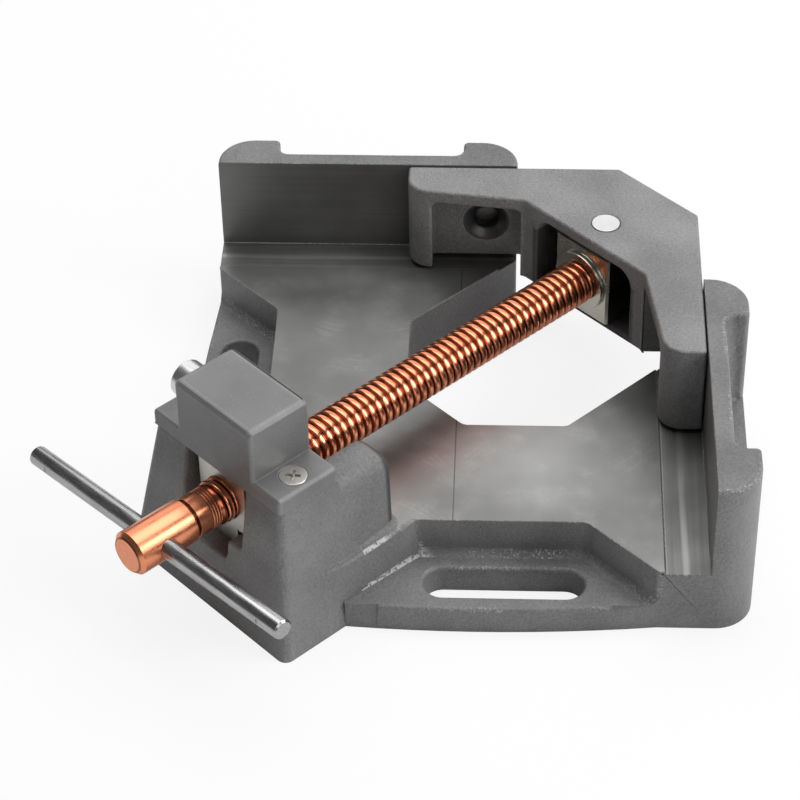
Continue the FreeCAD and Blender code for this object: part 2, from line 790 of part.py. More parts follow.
def make_nut():
    """The swivel nut: a block on two upright trunnions, bored for the spindle."""
    body = new_body("swivel_nut", DIAGONAL_TURN)
    block = new_sketch(body, "nut_block", offset=nut_foot)
    half_depth = nut_depth / 2
    add_box(block, -nut_axis - half_depth, -nut_axis + half_depth, -nut_width / 2, nut_width / 2)
    pad(body, block, nut_top - nut_foot)
    trunnion = new_sketch(body, "trunnion", offset=trunnion_seat)
    add_circle(trunnion, -nut_axis, 0, trunnion_diameter / 2)
    pad(body, trunnion, trunnion_length)
    tongue = new_sketch(body, "tongue", offset=nut_foot - tongue_length)
    add_box(tongue, -nut_axis - half_depth, -nut_axis, -tongue_half, tongue_half)
    pad(body, tongue, tongue_length)
    neck = new_sketch(body, "neck", offset=nut_top)
    add_circle(neck, -nut_axis, 0, neck_diameter / 2)
    pad(body, neck, neck_height)
    bore = new_sketch(body, "spindle_bore", role="YZ_Plane", offset=-nut_axis - nut_depth)
    add_circle(bore, 0, axis_height, spindle_bore)
    pocket(body, bore, nut_depth * 2, flip=True)
    return body


def make_spindle():
    """The spindle: cross-drilled head, collar, thread at its major diameter, journal."""
    head = head_diameter / 2
    ring = head - ring_groove_depth
    collar = collar_diameter / 2
    thread = thread_diameter / 2
    journal = journal_diameter / 2
    groove = journal - journal_groove_depth
    half_keeper = keeper_diameter / 2 + shoulder_gap
    profile = [
        (-head_start, 0),
        (-journal_end, 0),
        (-journal_end, journal),
        (-keeper_place + half_keeper, journal),
        (-keeper_place + half_keeper, groove),
        (-keeper_place - half_keeper, groove),
        (-keeper_place - half_keeper, journal),
        (-thread_end, journal),
        (-thread_end, thread),
        (-thread_start, thread),
        (-thread_start, collar),
        (-head_end + ring_groove_width, collar),
        (-head_end + ring_groove_width, ring),
        (-head_end, ring),
        (-head_end, head),
        (-head_start + head_chamfer, head),
        (-head_start, head - head_chamfer),
    ]
    body = turned_body("spindle", profile, "into_corner", 0, 0, axis_height)
    hole = new_sketch(body, "bar_hole", role="XZ_Plane", offset=head_diameter)
    add_circle(hole, -bar_place, 0, bar_diameter / 2 + running_gap)
    pocket(body, hole, head_diameter * 2)
    return body


def make_bar():
    """The sliding handle bar through the head of the spindle."""
    end = bar_length / 2
    radius = bar_diameter / 2
    profile = [
        (-end, 0),
        (end, 0),
        (end, radius - bar_chamfer),
        (end - bar_chamfer, radius),
        (-end + bar_chamfer, radius),
        (-end, radius - bar_chamfer),
    ]
    return turned_body("handle_bar", profile, "along_bar", -bar_place, 0, axis_height)


def make_block():
    """The swivel block between the webs of the jaw, which holds the spindle's journal."""
    body = new_body("swivel_block", DIAGONAL_TURN)
    box = new_sketch(body, "block", offset=block_foot)
    add_box(box, -block_front, -block_back, -block_half, block_half)
    pad(body, box, block_top - block_foot)
    dress(body, "Chamfer", "block_edges", block_chamfer, is_upright)
    bore = new_sketch(body, "journal_bore", role="YZ_Plane", offset=-block_front)
    add_circle(bore, 0, axis_height, journal_bore)
    disc_end = thrust_disc_start - thrust_disc_thickness
    pocket(body, bore, block_front - disc_end, flip=True)
    upper = new_sketch(body, "upper_pivot_bore", offset=block_top)
    lower = new_sketch(body, "lower_pivot_bore", offset=block_foot)
    for sketch in (upper, lower):
        add_circle(sketch, -pivot_axis, 0, pivot_diameter / 2 + running_gap)
    pocket(body, upper, pivot_depth + block_gap)
    pocket(body, lower, pivot_depth + block_gap, flip=True)
    keepers = new_sketch(body, "keeper_holes", role="XZ_Plane", offset=-block_half)
    for side in (1, -1):
        height = axis_height + keeper_spread / 2 * side
        add_circle(keepers, -keeper_place, height, keeper_diameter / 2)
    pocket(body, keepers, block_half * 2 - keeper_skin, flip=True)
    return body


def make_washer():
    """The round washer round the journal, against the front of the swivel block."""
    outer = washer_diameter / 2
    profile = [
        (0, journal_bore),
        (washer_thickness, journal_bore),
        (washer_thickness, outer),
        (0, outer),
    ]
    start = -block_front - washer_thickness
    return turned_body("thrust_washer", profile, "into_corner", start, 0, axis_height)


def make_thrust_disc():
    """A hard disc at the bottom of the bore, which the end of the spindle pushes on."""
    radius = journal_diameter / 2
    profile = [
        (0, 0),
        (thrust_disc_thickness, 0),
        (thrust_disc_thickness, radius),
        (0, radius),
    ]
    return turned_body(
        "thrust_disc", profile, "into_corner", -thrust_disc_start, 0, axis_height
    )


def make_keepers():
    """Two cross pins that lie in the groove of the journal and hold the spindle in."""
    end = keeper_length / 2
    radius = keeper_diameter / 2
    profile = [(-end, 0), (end, 0), (end, radius), (-end, radius)]
    lowest = axis_height - keeper_spread / 2
    middle = keeper_skin / 2
    body = turned_body("keeper_pins", profile, "across", -keeper_place, middle, lowest)
    repeat(body, body.Tip, "Z_Axis", keeper_spread)
    return body


def make_pivot(label, low, high):
    """A plain upright pin, pressed in a web of the jaw and free in the swivel block."""
    profile = [
        (0, 0),
        (high - low, 0),
        (high - low, pivot_diameter / 2),
        (0, pivot_diameter / 2),
    ]
    return turned_body(label, profile, "up", -pivot_axis, 0, low)


def make_jaw():
    """The V-jaw: two arms at right angles, forked in the middle for the swivel block."""
    body = new_body("v_jaw")
    half = [
        (-jaw_gap, -jaw_nose_start),
        (-jaw_gap, -jaw_arm_reach),
        (-jaw_arm_end, -jaw_arm_reach),
        (-jaw_inner, -(jaw_inner + jaw_window_half * ROOT_TWO)),
    ]
    outline = half + [(y, x) for x, y in reversed(half)]
    sketch = new_sketch(body, "jaw", offset=jaw_foot)
    add_outline(sketch, outline)
    pad(body, sketch, jaw_height)
    inner_ends = [(-jaw_arm_end, -jaw_arm_reach), (-jaw_arm_reach, -jaw_arm_end)]

    def is_inner_end(edge):
        return is_upright(edge) and any(near(edge, x, y) for x, y in inner_ends)

    dress(body, "Fillet", "arm_ends", jaw_arm_end_radius, is_inner_end)
    fork_top = jaw_top - fork_web_top
    fork = new_sketch(body, "fork", offset=fork_top, turn=DIAGONAL_TURN)
    add_box(fork, -jaw_front - overrun, -fork_back, -fork_half, fork_half)
    pocket(body, fork, jaw_height - fork_web_top - fork_web_foot)

    def is_fork_corner(edge):
        along, across, height = along_diagonal(edge)
        return is_level_at(edge, fork_top) and close(abs(across), fork_half)

    dress(body, "Fillet", "fork_corners", fork_corner_radius, is_fork_corner)
    pocket_top = jaw_top - arm_pocket_lip
    pockets = new_sketch(body, "arm_pockets", offset=pocket_top)
    wall = -(jaw_gap + arm_pocket_wall)
    mouth = -jaw_inner - overrun
    add_box(pockets, mouth, wall, -arm_pocket_end, -arm_pocket_start)
    add_box(pockets, -arm_pocket_end, -arm_pocket_start, mouth, wall)
    pocket(body, pockets, pocket_top - jaw_foot + overrun)
    sides = [-arm_pocket_start.value, -arm_pocket_end.value]

    def is_pocket_corner(edge):
        box = edge.BoundBox
        along_wall = box.XLength < 0.01 and any(close(box.XMin, side) for side in sides)
        along_side = box.YLength < 0.01 and any(close(box.YMin, side) for side in sides)
        return is_level_at(edge, pocket_top) and (along_wall or along_side)

    dress(body, "Fillet", "pocket_corners", arm_pocket_radius, is_pocket_corner)
    hole_height = jaw_foot + arm_hole_height
    back_hole = new_sketch(body, "back_arm_hole", role="XZ_Plane", offset=-wall)
    add_circle(back_hole, -arm_hole_place, hole_height, arm_hole_diameter / 2)
    sink(body, back_hole, arm_hole_diameter, arm_sink_diameter, arm_sink_angle)
    side_hole = new_sketch(body, "side_arm_hole", role="YZ_Plane", offset=wall)
    add_circle(side_hole, -arm_hole_place, hole_height, arm_hole_diameter / 2)
    sink(body, side_hole, arm_hole_diameter, arm_sink_diameter, arm_sink_angle, flip=True)
    upper = new_sketch(body, "upper_pin_hole", offset=jaw_top, turn=DIAGONAL_TURN)
    lower = new_sketch(body, "lower_pin_hole", offset=jaw_foot, turn=DIAGONAL_TURN)
    for sketch in (upper, lower):
        add_circle(sketch, -pivot_axis, 0, pivot_diameter / 2)
    pocket(body, upper, fork_web_top)
    pocket(body, lower, fork_web_foot, flip=True)
    return body


def main():
    pieces = [
        make_base(),
        make_cap(),
        make_cap_screws(),
        make_cheek_screw(),
        make_nut(),
        make_spindle(),
        make_bar(),
        make_block(),
        make_washer(),
        make_thrust_disc(),
        make_keepers(),
        make_pivot("upper_pivot_pin", block_top - pivot_depth, jaw_top),
        make_pivot("lower_pivot_pin", jaw_foot, block_foot + pivot_depth),
        make_jaw(),
    ]
    doc.recompute()
    for item in doc.Objects:
        if "Invalid" in item.State or "Error" in item.State:
            raise RuntimeError("%s is in error: %s" % (item.Label, item.State))
    for piece in pieces:
        shape = piece.Shape
        if shape.isNull() or not shape.isValid() or not shape.Solids:
            raise RuntimeError("%s is not a valid solid" % piece.Label)
    os.makedirs("parts", exist_ok=True)
    for piece in pieces:
        piece.Shape.exportStep("parts/%s.step" % piece.Label)
        print(piece.Label, len(piece.Shape.Solids), round(piece.Shape.Volume))


main()
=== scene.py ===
"""Corner clamp: castings, copper-plated spindle, finishes, light and camera."""

import math

import bpy
from bpy.props import (
    FloatProperty,
    FloatVectorProperty,
    IntProperty,
    PointerProperty,
)
from mathutils import Matrix, Vector


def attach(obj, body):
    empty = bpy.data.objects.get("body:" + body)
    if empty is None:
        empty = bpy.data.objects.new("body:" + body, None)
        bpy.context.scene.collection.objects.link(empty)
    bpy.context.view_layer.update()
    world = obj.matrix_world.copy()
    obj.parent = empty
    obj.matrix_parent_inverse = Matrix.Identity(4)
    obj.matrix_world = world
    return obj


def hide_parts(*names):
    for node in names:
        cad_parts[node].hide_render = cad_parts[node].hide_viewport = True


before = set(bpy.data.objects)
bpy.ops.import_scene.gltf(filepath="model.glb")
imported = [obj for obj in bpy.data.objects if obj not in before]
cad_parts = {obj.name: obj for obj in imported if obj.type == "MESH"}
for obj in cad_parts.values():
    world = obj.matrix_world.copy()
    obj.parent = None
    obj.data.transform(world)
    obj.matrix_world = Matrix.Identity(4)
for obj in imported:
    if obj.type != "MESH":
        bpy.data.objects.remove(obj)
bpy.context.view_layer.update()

bl_info = {
    "name": "Corner clamp",
    "version": (1, 0, 0),
    "blender": (4, 5, 0),
    "location": "View3D > Sidebar > Clamp",
    "description": "Castings, spindle, finishes and studio of a corner clamp",
    "category": "Object",
}

MM = 0.001
DIAGONAL = Matrix.Rotation(math.radians(45), 4, "Z")
AXIS_HEIGHT = 41.85 * MM
BAR_PLACE = -255 * MM
BAR_TILT = math.radians(4.3)
SHARP_ANGLE = math.radians(34)

# in millimetres, as the rules for edges and faces read them
TABLE_TOP = 25.2
CAP_TOP = 61.7
CAP_SCREW_ALONG = -216.5
CAP_SCREW_ACROSS = 24.8
ARM_HOLE_PLACE = 76.3
ARM_HOLE_HEIGHT = 41.2

# how noise is scaled for marks that run along X or along Y
MARKS_ALONG_X = (0.02, 1, 1)
MARKS_ALONG_Y = (1, 0.02, 1)


def length_setting(name, description, default):
    """A setting in metres, with its default in millimetres."""
    return FloatProperty(
        name=name, description=description, default=default * MM, subtype="DISTANCE"
    )


def angle_setting(name, description, default):
    """A setting in radians, with its default in degrees."""
    return FloatProperty(
        name=name, description=description, default=math.radians(default), subtype="ANGLE"
    )


def colour_setting(name, description, default):
    return FloatVectorProperty(
        name=name, description=description, default=default, subtype="COLOR_GAMMA"
    )


class ClampSizes(bpy.types.PropertyGroup):
    """Sizes of what the looks add to the CAD solids."""

    casting_edge: length_setting("Casting edge", "Rounding along the base's cast edges", 1.25)
    milled_edge: length_setting("Milled edge", "Rounding along the machined edges", 0.35)
    cap_edge: length_setting("Cap edge", "Rounding along the edges of the cap", 1.3)
    jaw_edge: length_setting("Jaw edge", "Rounding along the edges of the jaw", 1.1)
    plated_edge: length_setting("Plated edge", "Rounding along the plated edges", 0.35)
    cheek_edge: length_setting("Cheek edge", "Rounding along the tops of the cheeks", 6.8)
    thread_pitch: length_setting("Thread pitch", "From one crest of the thread to the next", 3.175)
    thread_depth: length_setting("Thread depth", "Height of a crest over the root", 1)
    thread_steps: IntProperty(
        name="Thread steps",
        description="Faces in one turn of the thread",
        default=48,
    )


class ClampColours(bpy.types.PropertyGroup):
    """Colours of the clamp's finishes."""

    paint: colour_setting("Paint", "Grey paint of the base", (0.45, 0.45, 0.45))
    cap_paint: colour_setting("Cap paint", "Satin paint of the cap", (0.48, 0.48, 0.48))
    jaw_paint: colour_setting("Jaw paint", "Paint of the jaw", (0.51, 0.51, 0.51))
    bare_iron: colour_setting("Bare iron", "Machined faces", (0.57, 0.57, 0.565))
    copper: colour_setting("Copper", "Copper plate of the spindle", (0.93, 0.59, 0.44))
    zinc: colour_setting("Zinc", "Zinc plate of the nut and the screws", (0.82, 0.81, 0.78))


class ClampView(bpy.types.PropertyGroup):
    """The camera of the catalogue picture."""

    azimuth: angle_setting("Azimuth", "Angle of the camera round the clamp", 3.05)
    elevation: angle_setting("Elevation", "Angle of the camera over the bench", 40.62)
    roll: angle_setting("Roll", "Turn of the camera about its own line of sight", -1.15)
    distance: length_setting("Distance", "From the camera to the point it looks at", 975.7)
    target: FloatVectorProperty(
        name="Target",
        description="Point on the table that the camera looks at",
        default=(-105.03 * MM, -90.5 * MM, TABLE_TOP * MM),
        subtype="XYZ",
        unit="LENGTH",
    )
    focal_length: FloatProperty(
        name="Focal length",
        description="Of the lens, for a 36 mm sensor",
        default=125.43,
        subtype="DISTANCE_CAMERA",
    )


def deselect():
    bpy.ops.object.select_all(action="DESELECT")


def take(piece):
    """Make the piece the only one selected, and active."""
    deselect()
    piece.select_set(True)
    bpy.context.view_layer.objects.active = piece


def edit(piece):
    """Edit mode with the whole mesh selected."""
    take(piece)
    bpy.ops.object.mode_set(mode="EDIT")
    bpy.ops.mesh.select_all(action="SELECT")


def leave():
    bpy.ops.object.mode_set(mode="OBJECT")


def traced(node, name):
    """A merged copy of a CAD node's mesh, with whole faces instead of loose triangles."""
    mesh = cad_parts[node].data.copy()
    mesh.materials.clear()
    piece = bpy.data.objects.new(name, mesh)
    bpy.context.scene.collection.objects.link(piece)
    take(piece)
    bpy.ops.mesh.customdata_custom_splitnormals_clear()
    edit(piece)
    bpy.ops.mesh.remove_doubles(threshold=2e-6)
    bpy.ops.mesh.dissolve_limited(angle_limit=math.radians(0.6))
    leave()
    return piece


def apply_modifier(piece, kind, **values):
    take(piece)
    modifier = piece.modifiers.new(kind.title(), kind)
    for name, value in values.items():
        setattr(modifier, name, value)
    bpy.ops.object.modifier_apply(modifier=modifier.name)


def face_outward(piece):
    edit(piece)
    bpy.ops.mesh.normals_make_consistent(inside=False)
    leave()


def smooth(piece, angle=32):
    take(piece)
    bpy.ops.object.shade_smooth_by_angle(angle=math.radians(angle))


def sharp_edges(piece, angle):
    """The edges whose two faces meet at more than an angle, with their faces."""
    faces = {}
    for face in piece.data.polygons:
        for key in face.edge_keys:
            faces.setdefault(key, []).append(face)
    for edge in piece.data.edges:
        pair = faces.get(edge.key, [])
        if len(pair) == 2 and pair[0].normal.angle(pair[1].normal) > angle:
            yield edge, pair


def weigh_edges(piece, weight, angle):
    """Bevel weights for the sharp edges, by a rule on each edge's middle and two faces."""
    weighed = {}
    for edge, pair in sharp_edges(piece, angle):
        ends = [piece.data.vertices[index].co for index in edge.vertices]
        middle = (ends[0] + ends[1]) / 2
        weighed.setdefault(weight(middle / MM, pair), []).append(edge.index)
    for value, edges in weighed.items():
        edit(piece)
        bpy.ops.mesh.select_mode(type="EDGE")
        bpy.ops.mesh.select_all(action="DESELECT")
        leave()
        for index in edges:
            piece.data.edges[index].select = True
        bpy.ops.object.mode_set(mode="EDIT")
        bpy.ops.transform.edge_bevelweight(value=value)
        leave()


def round_edges(piece, width, segments=3, edge_slot=-1, limit="ANGLE", clamp=True):
    """Round the sharp or the weighted edges; the new faces may get a slot of their own."""
    apply_modifier(
        piece,
        "BEVEL",
        width=width,
        segments=segments,
        limit_method=limit,
        angle_limit=SHARP_ANGLE,
        material=edge_slot,
        miter_outer="MITER_ARC",
        use_clamp_overlap=clamp,
        loop_slide=clamp,
    )
    smooth(piece, 40)
    apply_modifier(piece, "WEIGHTED_NORMAL", keep_sharp=True, weight=50)


def diagonal(point):
    """How far a point lies along the diagonal, across it and over the bench."""
    along = (point.x + point.y) / math.sqrt(2)
    across = (point.x - point.y) / math.sqrt(2)
    return along, across, point.z


def give(piece, *materials):
    piece.data.materials.clear()
    for material in materials:
        piece.data.materials.append(material)


def settle(piece, body, slot, *nodes):
    """The piece rides on a body and stands for CAD nodes, which are hidden; the slot is not used.
    """
    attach(piece, body)
    if nodes:
        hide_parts(*nodes)


def drop(*pieces):
    for piece in pieces:
        bpy.data.objects.remove(piece)


def fix_place(piece):
    """Leave the piece's object at the origin, unturned and unscaled."""
    take(piece)
    bpy.ops.object.transform_apply(location=True, rotation=True, scale=True)


def ring(name, profile):
    """A closed ring of edges over the X axis, through the points (x, radius)."""
    bpy.ops.mesh.primitive_circle_add(vertices=len(profile), radius=1)
    piece = bpy.context.object
    piece.name = name
    for vertex, (x, radius) in zip(piece.data.vertices, profile):
        vertex.co = (x, 0, radius)
    return piece


def turned(name, profile, steps=96):
    """A closed piece turned about the X axis, from (x, radius) in millimetres."""
    piece = ring(name, [(x * MM, radius * MM) for x, radius in profile])
    edit(piece)
    bpy.ops.mesh.spin(
        steps=steps, angle=math.tau, center=(0, 0, 0), axis=(1, 0, 0), dupli=False
    )
    bpy.ops.mesh.select_all(action="SELECT")
    bpy.ops.mesh.remove_doubles(threshold=1e-6)
    bpy.ops.mesh.normals_make_consistent(inside=False)
    leave()
    return piece


def cut_away(piece, cutter):
    apply_modifier(piece, "BOOLEAN", operation="DIFFERENCE", object=cutter, solver="EXACT")
    drop(cutter)


def lay(piece, matrix):
    """Move the mesh itself, so that its object stays at the origin."""
    piece.data.transform(matrix)
    piece.data.update()


class Value:
    """A number that varies over a surface, so that shader maths reads as arithmetic."""

    def __init__(self, finish, socket):
        self.finish = finish
        self.socket = socket

    def __add__(self, other):
        return self.finish.maths("ADD", self, other)

    def __sub__(self, other):
        return self.finish.maths("SUBTRACT", self, other)

    def __mul__(self, other):
        return self.finish.maths("MULTIPLY", self, other)

    def __truediv__(self, other):
        return self.finish.maths("DIVIDE", self, other)

    def __rsub__(self, other):
        return self.finish.maths("SUBTRACT", other, self)


class Finish:
    """A material, and the nodes that make its colour, gloss and relief."""

    def __init__(self, name, **constants):
        self.material = bpy.data.materials.new(name)
        self.material.use_nodes = True
        self.tree = self.material.node_tree
        self.shader = self.tree.nodes["Principled BSDF"]
        for socket, value in constants.items():
            self.shader.inputs[socket.replace("_", " ")].default_value = value
        self.place = self.node("ShaderNodeTexCoord", output="Object")

    def node(self, kind, choices=None, inputs=None, output=0):
        node = self.tree.nodes.new(kind)
        for name, value in (choices or {}).items():
            setattr(node, name, value)
        for key, value in (inputs or {}).items():
            if isinstance(value, Value):
                self.tree.links.new(value.socket, node.inputs[key])
            else:
                node.inputs[key].default_value = value
        return Value(self, node.outputs[output])

    def maths(self, operation, first, second=0.0):
        return self.node("ShaderNodeMath", {"operation": operation}, {0: first, 1: second})

    def hypotenuse(self, first, second):
        return self.maths("SQRT", first * first + second * second)

    def axis(self, name):
        return self.node("ShaderNodeSeparateXYZ", inputs={0: self.place}, output=name)

    def noise(self, scale, detail=2.0, roughness=0.5, stretch=(1, 1, 1), turn=0.0):
        place = self.place
        if stretch != (1, 1, 1) or turn:
            turned_place = {1: (0, 0, 0), 2: (0, 0, turn), 3: (1, 1, 1)}
            place = self.node("ShaderNodeMapping", inputs={0: place, **turned_place})
            place = self.node("ShaderNodeMapping", inputs={0: place, 3: stretch})
        inputs = {"Vector": place, "Scale": scale, "Detail": detail, "Roughness": roughness}
        return self.node("ShaderNodeTexNoise", inputs=inputs)

    def streaks(self, value, spacing):
        """Lines across a value, of uneven width and about the spacing apart, from -1 to 1."""
        place = self.node("ShaderNodeCombineXYZ", inputs={0: value})
        inputs = {"Vector": place, "Scale": 1 / spacing, "Detail": 3.0, "Roughness": 0.6}
        return (self.node("ShaderNodeTexNoise", inputs=inputs) - 0.5) * 4

    def diagonal(self):
        """Along the spindle and across it."""
        along = (self.axis("X") + self.axis("Y")) / math.sqrt(2)
        across = (self.axis("X") - self.axis("Y")) / math.sqrt(2)
        return along, across

    def band(self, value, low, high):
        """0 under low, 1 over high and smooth between them."""
        choices = {"interpolation_type": "SMOOTHSTEP"}
        return self.node("ShaderNodeMapRange", choices, {0: value, 1: low, 2: high})

    def between(self, value, start, full, fade, end):
        """0 up to start, 1 from full to fade and 0 again from end onwards."""
        return self.band(value, start, full) * (1 - self.band(value, fade, end))

    def near(self, value, low, high):
        """1 where the value lies within low of zero, 0 where it is past high."""
        return 1 - self.band(self.maths("ABSOLUTE", value), low, high)

    def mix(self, mask, low, high):
        inputs = {0: mask, 6: low, 7: high}
        return self.node("ShaderNodeMix", {"data_type": "RGBA"}, inputs, output=2)

    def relief(self, height, distance, strength, under=None):
        inputs = {"Height": height, "Distance": distance, "Strength": strength}
        if under is not None:
            inputs["Normal"] = under
        return self.node("ShaderNodeBump", inputs=inputs)

    def set(self, socket, value):
        self.tree.links.new(value.socket, self.shader.inputs[socket])


def shade(colour, factor=1.0):
    """A display colour, lightened or darkened, as the linear colour a shader takes."""
    linear = []
    for part in colour:
        part = min(max(part * factor, 0.0), 1.0)
        linear.append(part / 12.92 if part <= 0.04045 else ((part + 0.055) / 1.055) ** 2.4)
    return (*linear, 1.0)


def grey(level):
    return shade((level, level, level))


def painted_iron(name, paint, wear_and_glints=0.0, grain_height=0.44, rubbed_and_highlit=False, painted_shade=None):
    """Grey paint over sand-cast iron: grain, soft clouds, and specks of wear and painted glints.

    On the edge finish, a pale strip lies on the right shelf, partly chalky wear and partly a
    painted highlight along the shelf's edge and the ear's root. Painted shade starts at a place
    along the diagonal and goes on, within a reach across it and a height, all in millimetres.
    """
    finish = Finish(name, Metallic=0.0)
    along, across = finish.diagonal()
    clouds = finish.noise(34, detail=3)
    pebbles = finish.noise(520, detail=2)
    grain = finish.noise(1300, detail=3, roughness=0.65)
    mask = finish.band(clouds * 0.45 + grain * 0.55, 0.3, 0.7)
    colour = finish.mix(mask, shade(paint, 0.84), shade(paint, 1.16))
    # light specks on the edge finish: partly wear of the paint, partly painted glints of light on
    # the grain
    if wear_and_glints:
        specks = finish.band(finish.noise(1500, detail=2), 0.66 - wear_and_glints, 0.82 - wear_and_glints)
        patches = finish.band(finish.noise(55, detail=1), 0.38, 0.62)
        colour = finish.mix(specks * patches, colour, grey(0.68))
    # a pale strip on the right shelf: partly chalky wear, partly a painted highlight along the
    # shelf's edge and the ear's root
    if rubbed_and_highlit:
        low = 1 - finish.band(finish.axis("Z"), 15 * MM, 17 * MM)
        start = finish.band(along + low * (9 * MM), -207 * MM, -203 * MM)
        end = finish.band(along - low * (14 * MM), -190 * MM, -186 * MM)
        strip = finish.between(across, 34 * MM, 36 * MM, 46 * MM, 48 * MM)
        chalk_and_highlight = finish.band(finish.noise(900, detail=2), 0.36, 0.56)
        colour = finish.mix(start * (1 - end) * strip * chalk_and_highlight * 0.85, colour, grey(0.8))
    # painted shade: a darker copy of the paint over a stretch of the diagonal, where shade falls
    if painted_shade:
        first, reach, top = painted_shade
        shade_mask = finish.band(along, first * MM, (first + 1.6) * MM)
        shade_mask = shade_mask * finish.near(across, (reach - 2) * MM, reach * MM)
        shade_mask = shade_mask * (1 - finish.band(finish.axis("Z"), (top - 1) * MM, top * MM))
        colour = finish.mix(shade_mask * 0.85, colour, shade(paint, 0.5))
    finish.set("Base Color", colour)
    finish.set("Roughness", finish.band(grain, 0.2, 0.8) * 0.16 + 0.36)
    relief = finish.relief(pebbles, grain_height * MM, 0.8)
    finish.set("Normal", finish.relief(grain, grain_height * 0.6 * MM, 0.9, relief))
    return finish.material


def milled_iron(name, iron):
    """The table: two passes of a face mill, which leaves arcs that cross each other, and a painted
    highlight on its front wing.
    """
    finish = Finish(name, Metallic=0.85)
    x = finish.axis("X")
    y = finish.axis("Y")
    seam = -85 * MM
    cutter = 37 * MM
    left_pass = -119 * MM
    pass_step = 68 * MM
    on_right = finish.band(x, seam - 0.05 * MM, seam + 0.05 * MM)
    across = x - (on_right * pass_step + left_pass)
    reach = finish.maths("SQRT", finish.maths("MAXIMUM", cutter**2 - across * across, 0))
    wobble = finish.noise(40, detail=2) * (1.2 * MM)
    front = finish.streaks(y - reach + wobble, 1.1 * MM)
    rear = finish.streaks(y + reach + wobble, 1.4 * MM)
    sides = finish.band(finish.noise(26, detail=2), 0.4, 0.6)
    fine = finish.noise(2400, detail=2, stretch=(1, 0.25, 1))
    marks = (front * sides + rear * (1 - sides)) * 0.5 + fine * 0.9
    clouds = finish.noise(20, detail=3, roughness=0.6)
    strength = finish.band(finish.noise(70, detail=3), 0.45, 0.75)
    # painted highlight: a pool of light where the ceiling lamp falls on the front of the table
    from_highlight_middle = finish.hypotenuse((x + 58 * MM) / (34 * MM), (y + 122 * MM) / (30 * MM))
    painted_highlight = (1 - finish.band(from_highlight_middle, 0.1, 1.25)) * 0.4
    tone = finish.band(marks * strength * 0.42 + clouds * 1.1 + painted_highlight, 0.1, 1.45)
    colour = finish.mix(tone, shade(iron, 0.78), shade(iron, 1.2))
    line = finish.near(x - seam, 0.05 * MM, 0.3 * MM)
    colour = finish.mix(line, colour, shade(iron, 0.62))
    finish.set("Base Color", colour)
    finish.set("Roughness", finish.band(clouds, 0.2, 0.8) * 0.12 + 0.3)
    finish.set("Normal", finish.relief(marks * strength, 0.03 * MM, 0.7))
    return finish.material


def ground_iron(name, iron, stretch):
    """A fence face: long faint marks along the cut."""
    finish = Finish(name, Metallic=0.75)
    long_marks = finish.noise(900, detail=3, stretch=stretch)
    clouds = finish.noise(30, detail=3)
    tone = finish.band(long_marks * 0.3 + clouds * 0.7, 0.3, 0.7)
    finish.set("Base Color", finish.mix(tone, shade(iron, 0.8), shade(iron, 0.94)))
    finish.set("Roughness", finish.band(clouds, 0.2, 0.8) * 0.12 + 0.36)
    finish.set("Normal", finish.relief(long_marks, 0.015 * MM, 0.3))
    return finish.material


def groove_iron(name, iron, axis, stretch):
    """The groove along a fence: lighter lines along its hollow and its rim are painted highlights.
    """
    finish = Finish(name, Metallic=0.8)
    place = finish.axis(axis)
    long_marks = finish.noise(700, detail=3, stretch=stretch)
    clouds = finish.noise(40, detail=3)
    wander = (finish.noise(25, detail=1) - 0.5) * (1.2 * MM)
    # painted highlights: a wandering line in the groove's hollow and a thin one on its rim
    painted_highlight_line = finish.near(place + 8.2 * MM + wander, 0.2 * MM, 1.7 * MM)
    rim = finish.near(place + 14.6 * MM, 0.1 * MM, 0.5 * MM)
    tones = long_marks * 0.35 + clouds * 0.5 + painted_highlight_line * 0.36 + rim * 0.22
    tone = finish.band(tones, 0.25, 1.05)
    finish.set("Base Color", finish.mix(tone, shade(iron, 0.78), shade(iron, 1.3)))
    finish.set("Roughness", 0.44 - painted_highlight_line * 0.1)
    finish.set("Normal", finish.relief(long_marks, 0.02 * MM, 0.3))
    return finish.material


def satin_paint(name, paint, gain=1.0):
    """The cap: smooth satin paint with a little orange peel."""
    finish = Finish(name, Metallic=0.15, Coat_Weight=0.05, Coat_Roughness=0.45)
    peel = finish.noise(900, detail=2)
    clouds = finish.band(finish.noise(34, detail=4), 0.3, 0.7)
    specks = finish.band(finish.noise(1900, detail=2), 0.64, 0.74)
    colour = finish.mix(clouds, shade(paint, 0.92 * gain), shade(paint, 1.05 * gain))
    finish.set("Base Color", finish.mix(specks, colour, shade(paint, 1.25 * gain)))
    finish.set("Roughness", finish.band(peel, 0.2, 0.8) * 0.08 + 0.4)
    finish.set("Normal", finish.relief(peel, 0.06 * MM, 0.35))
    return finish.material


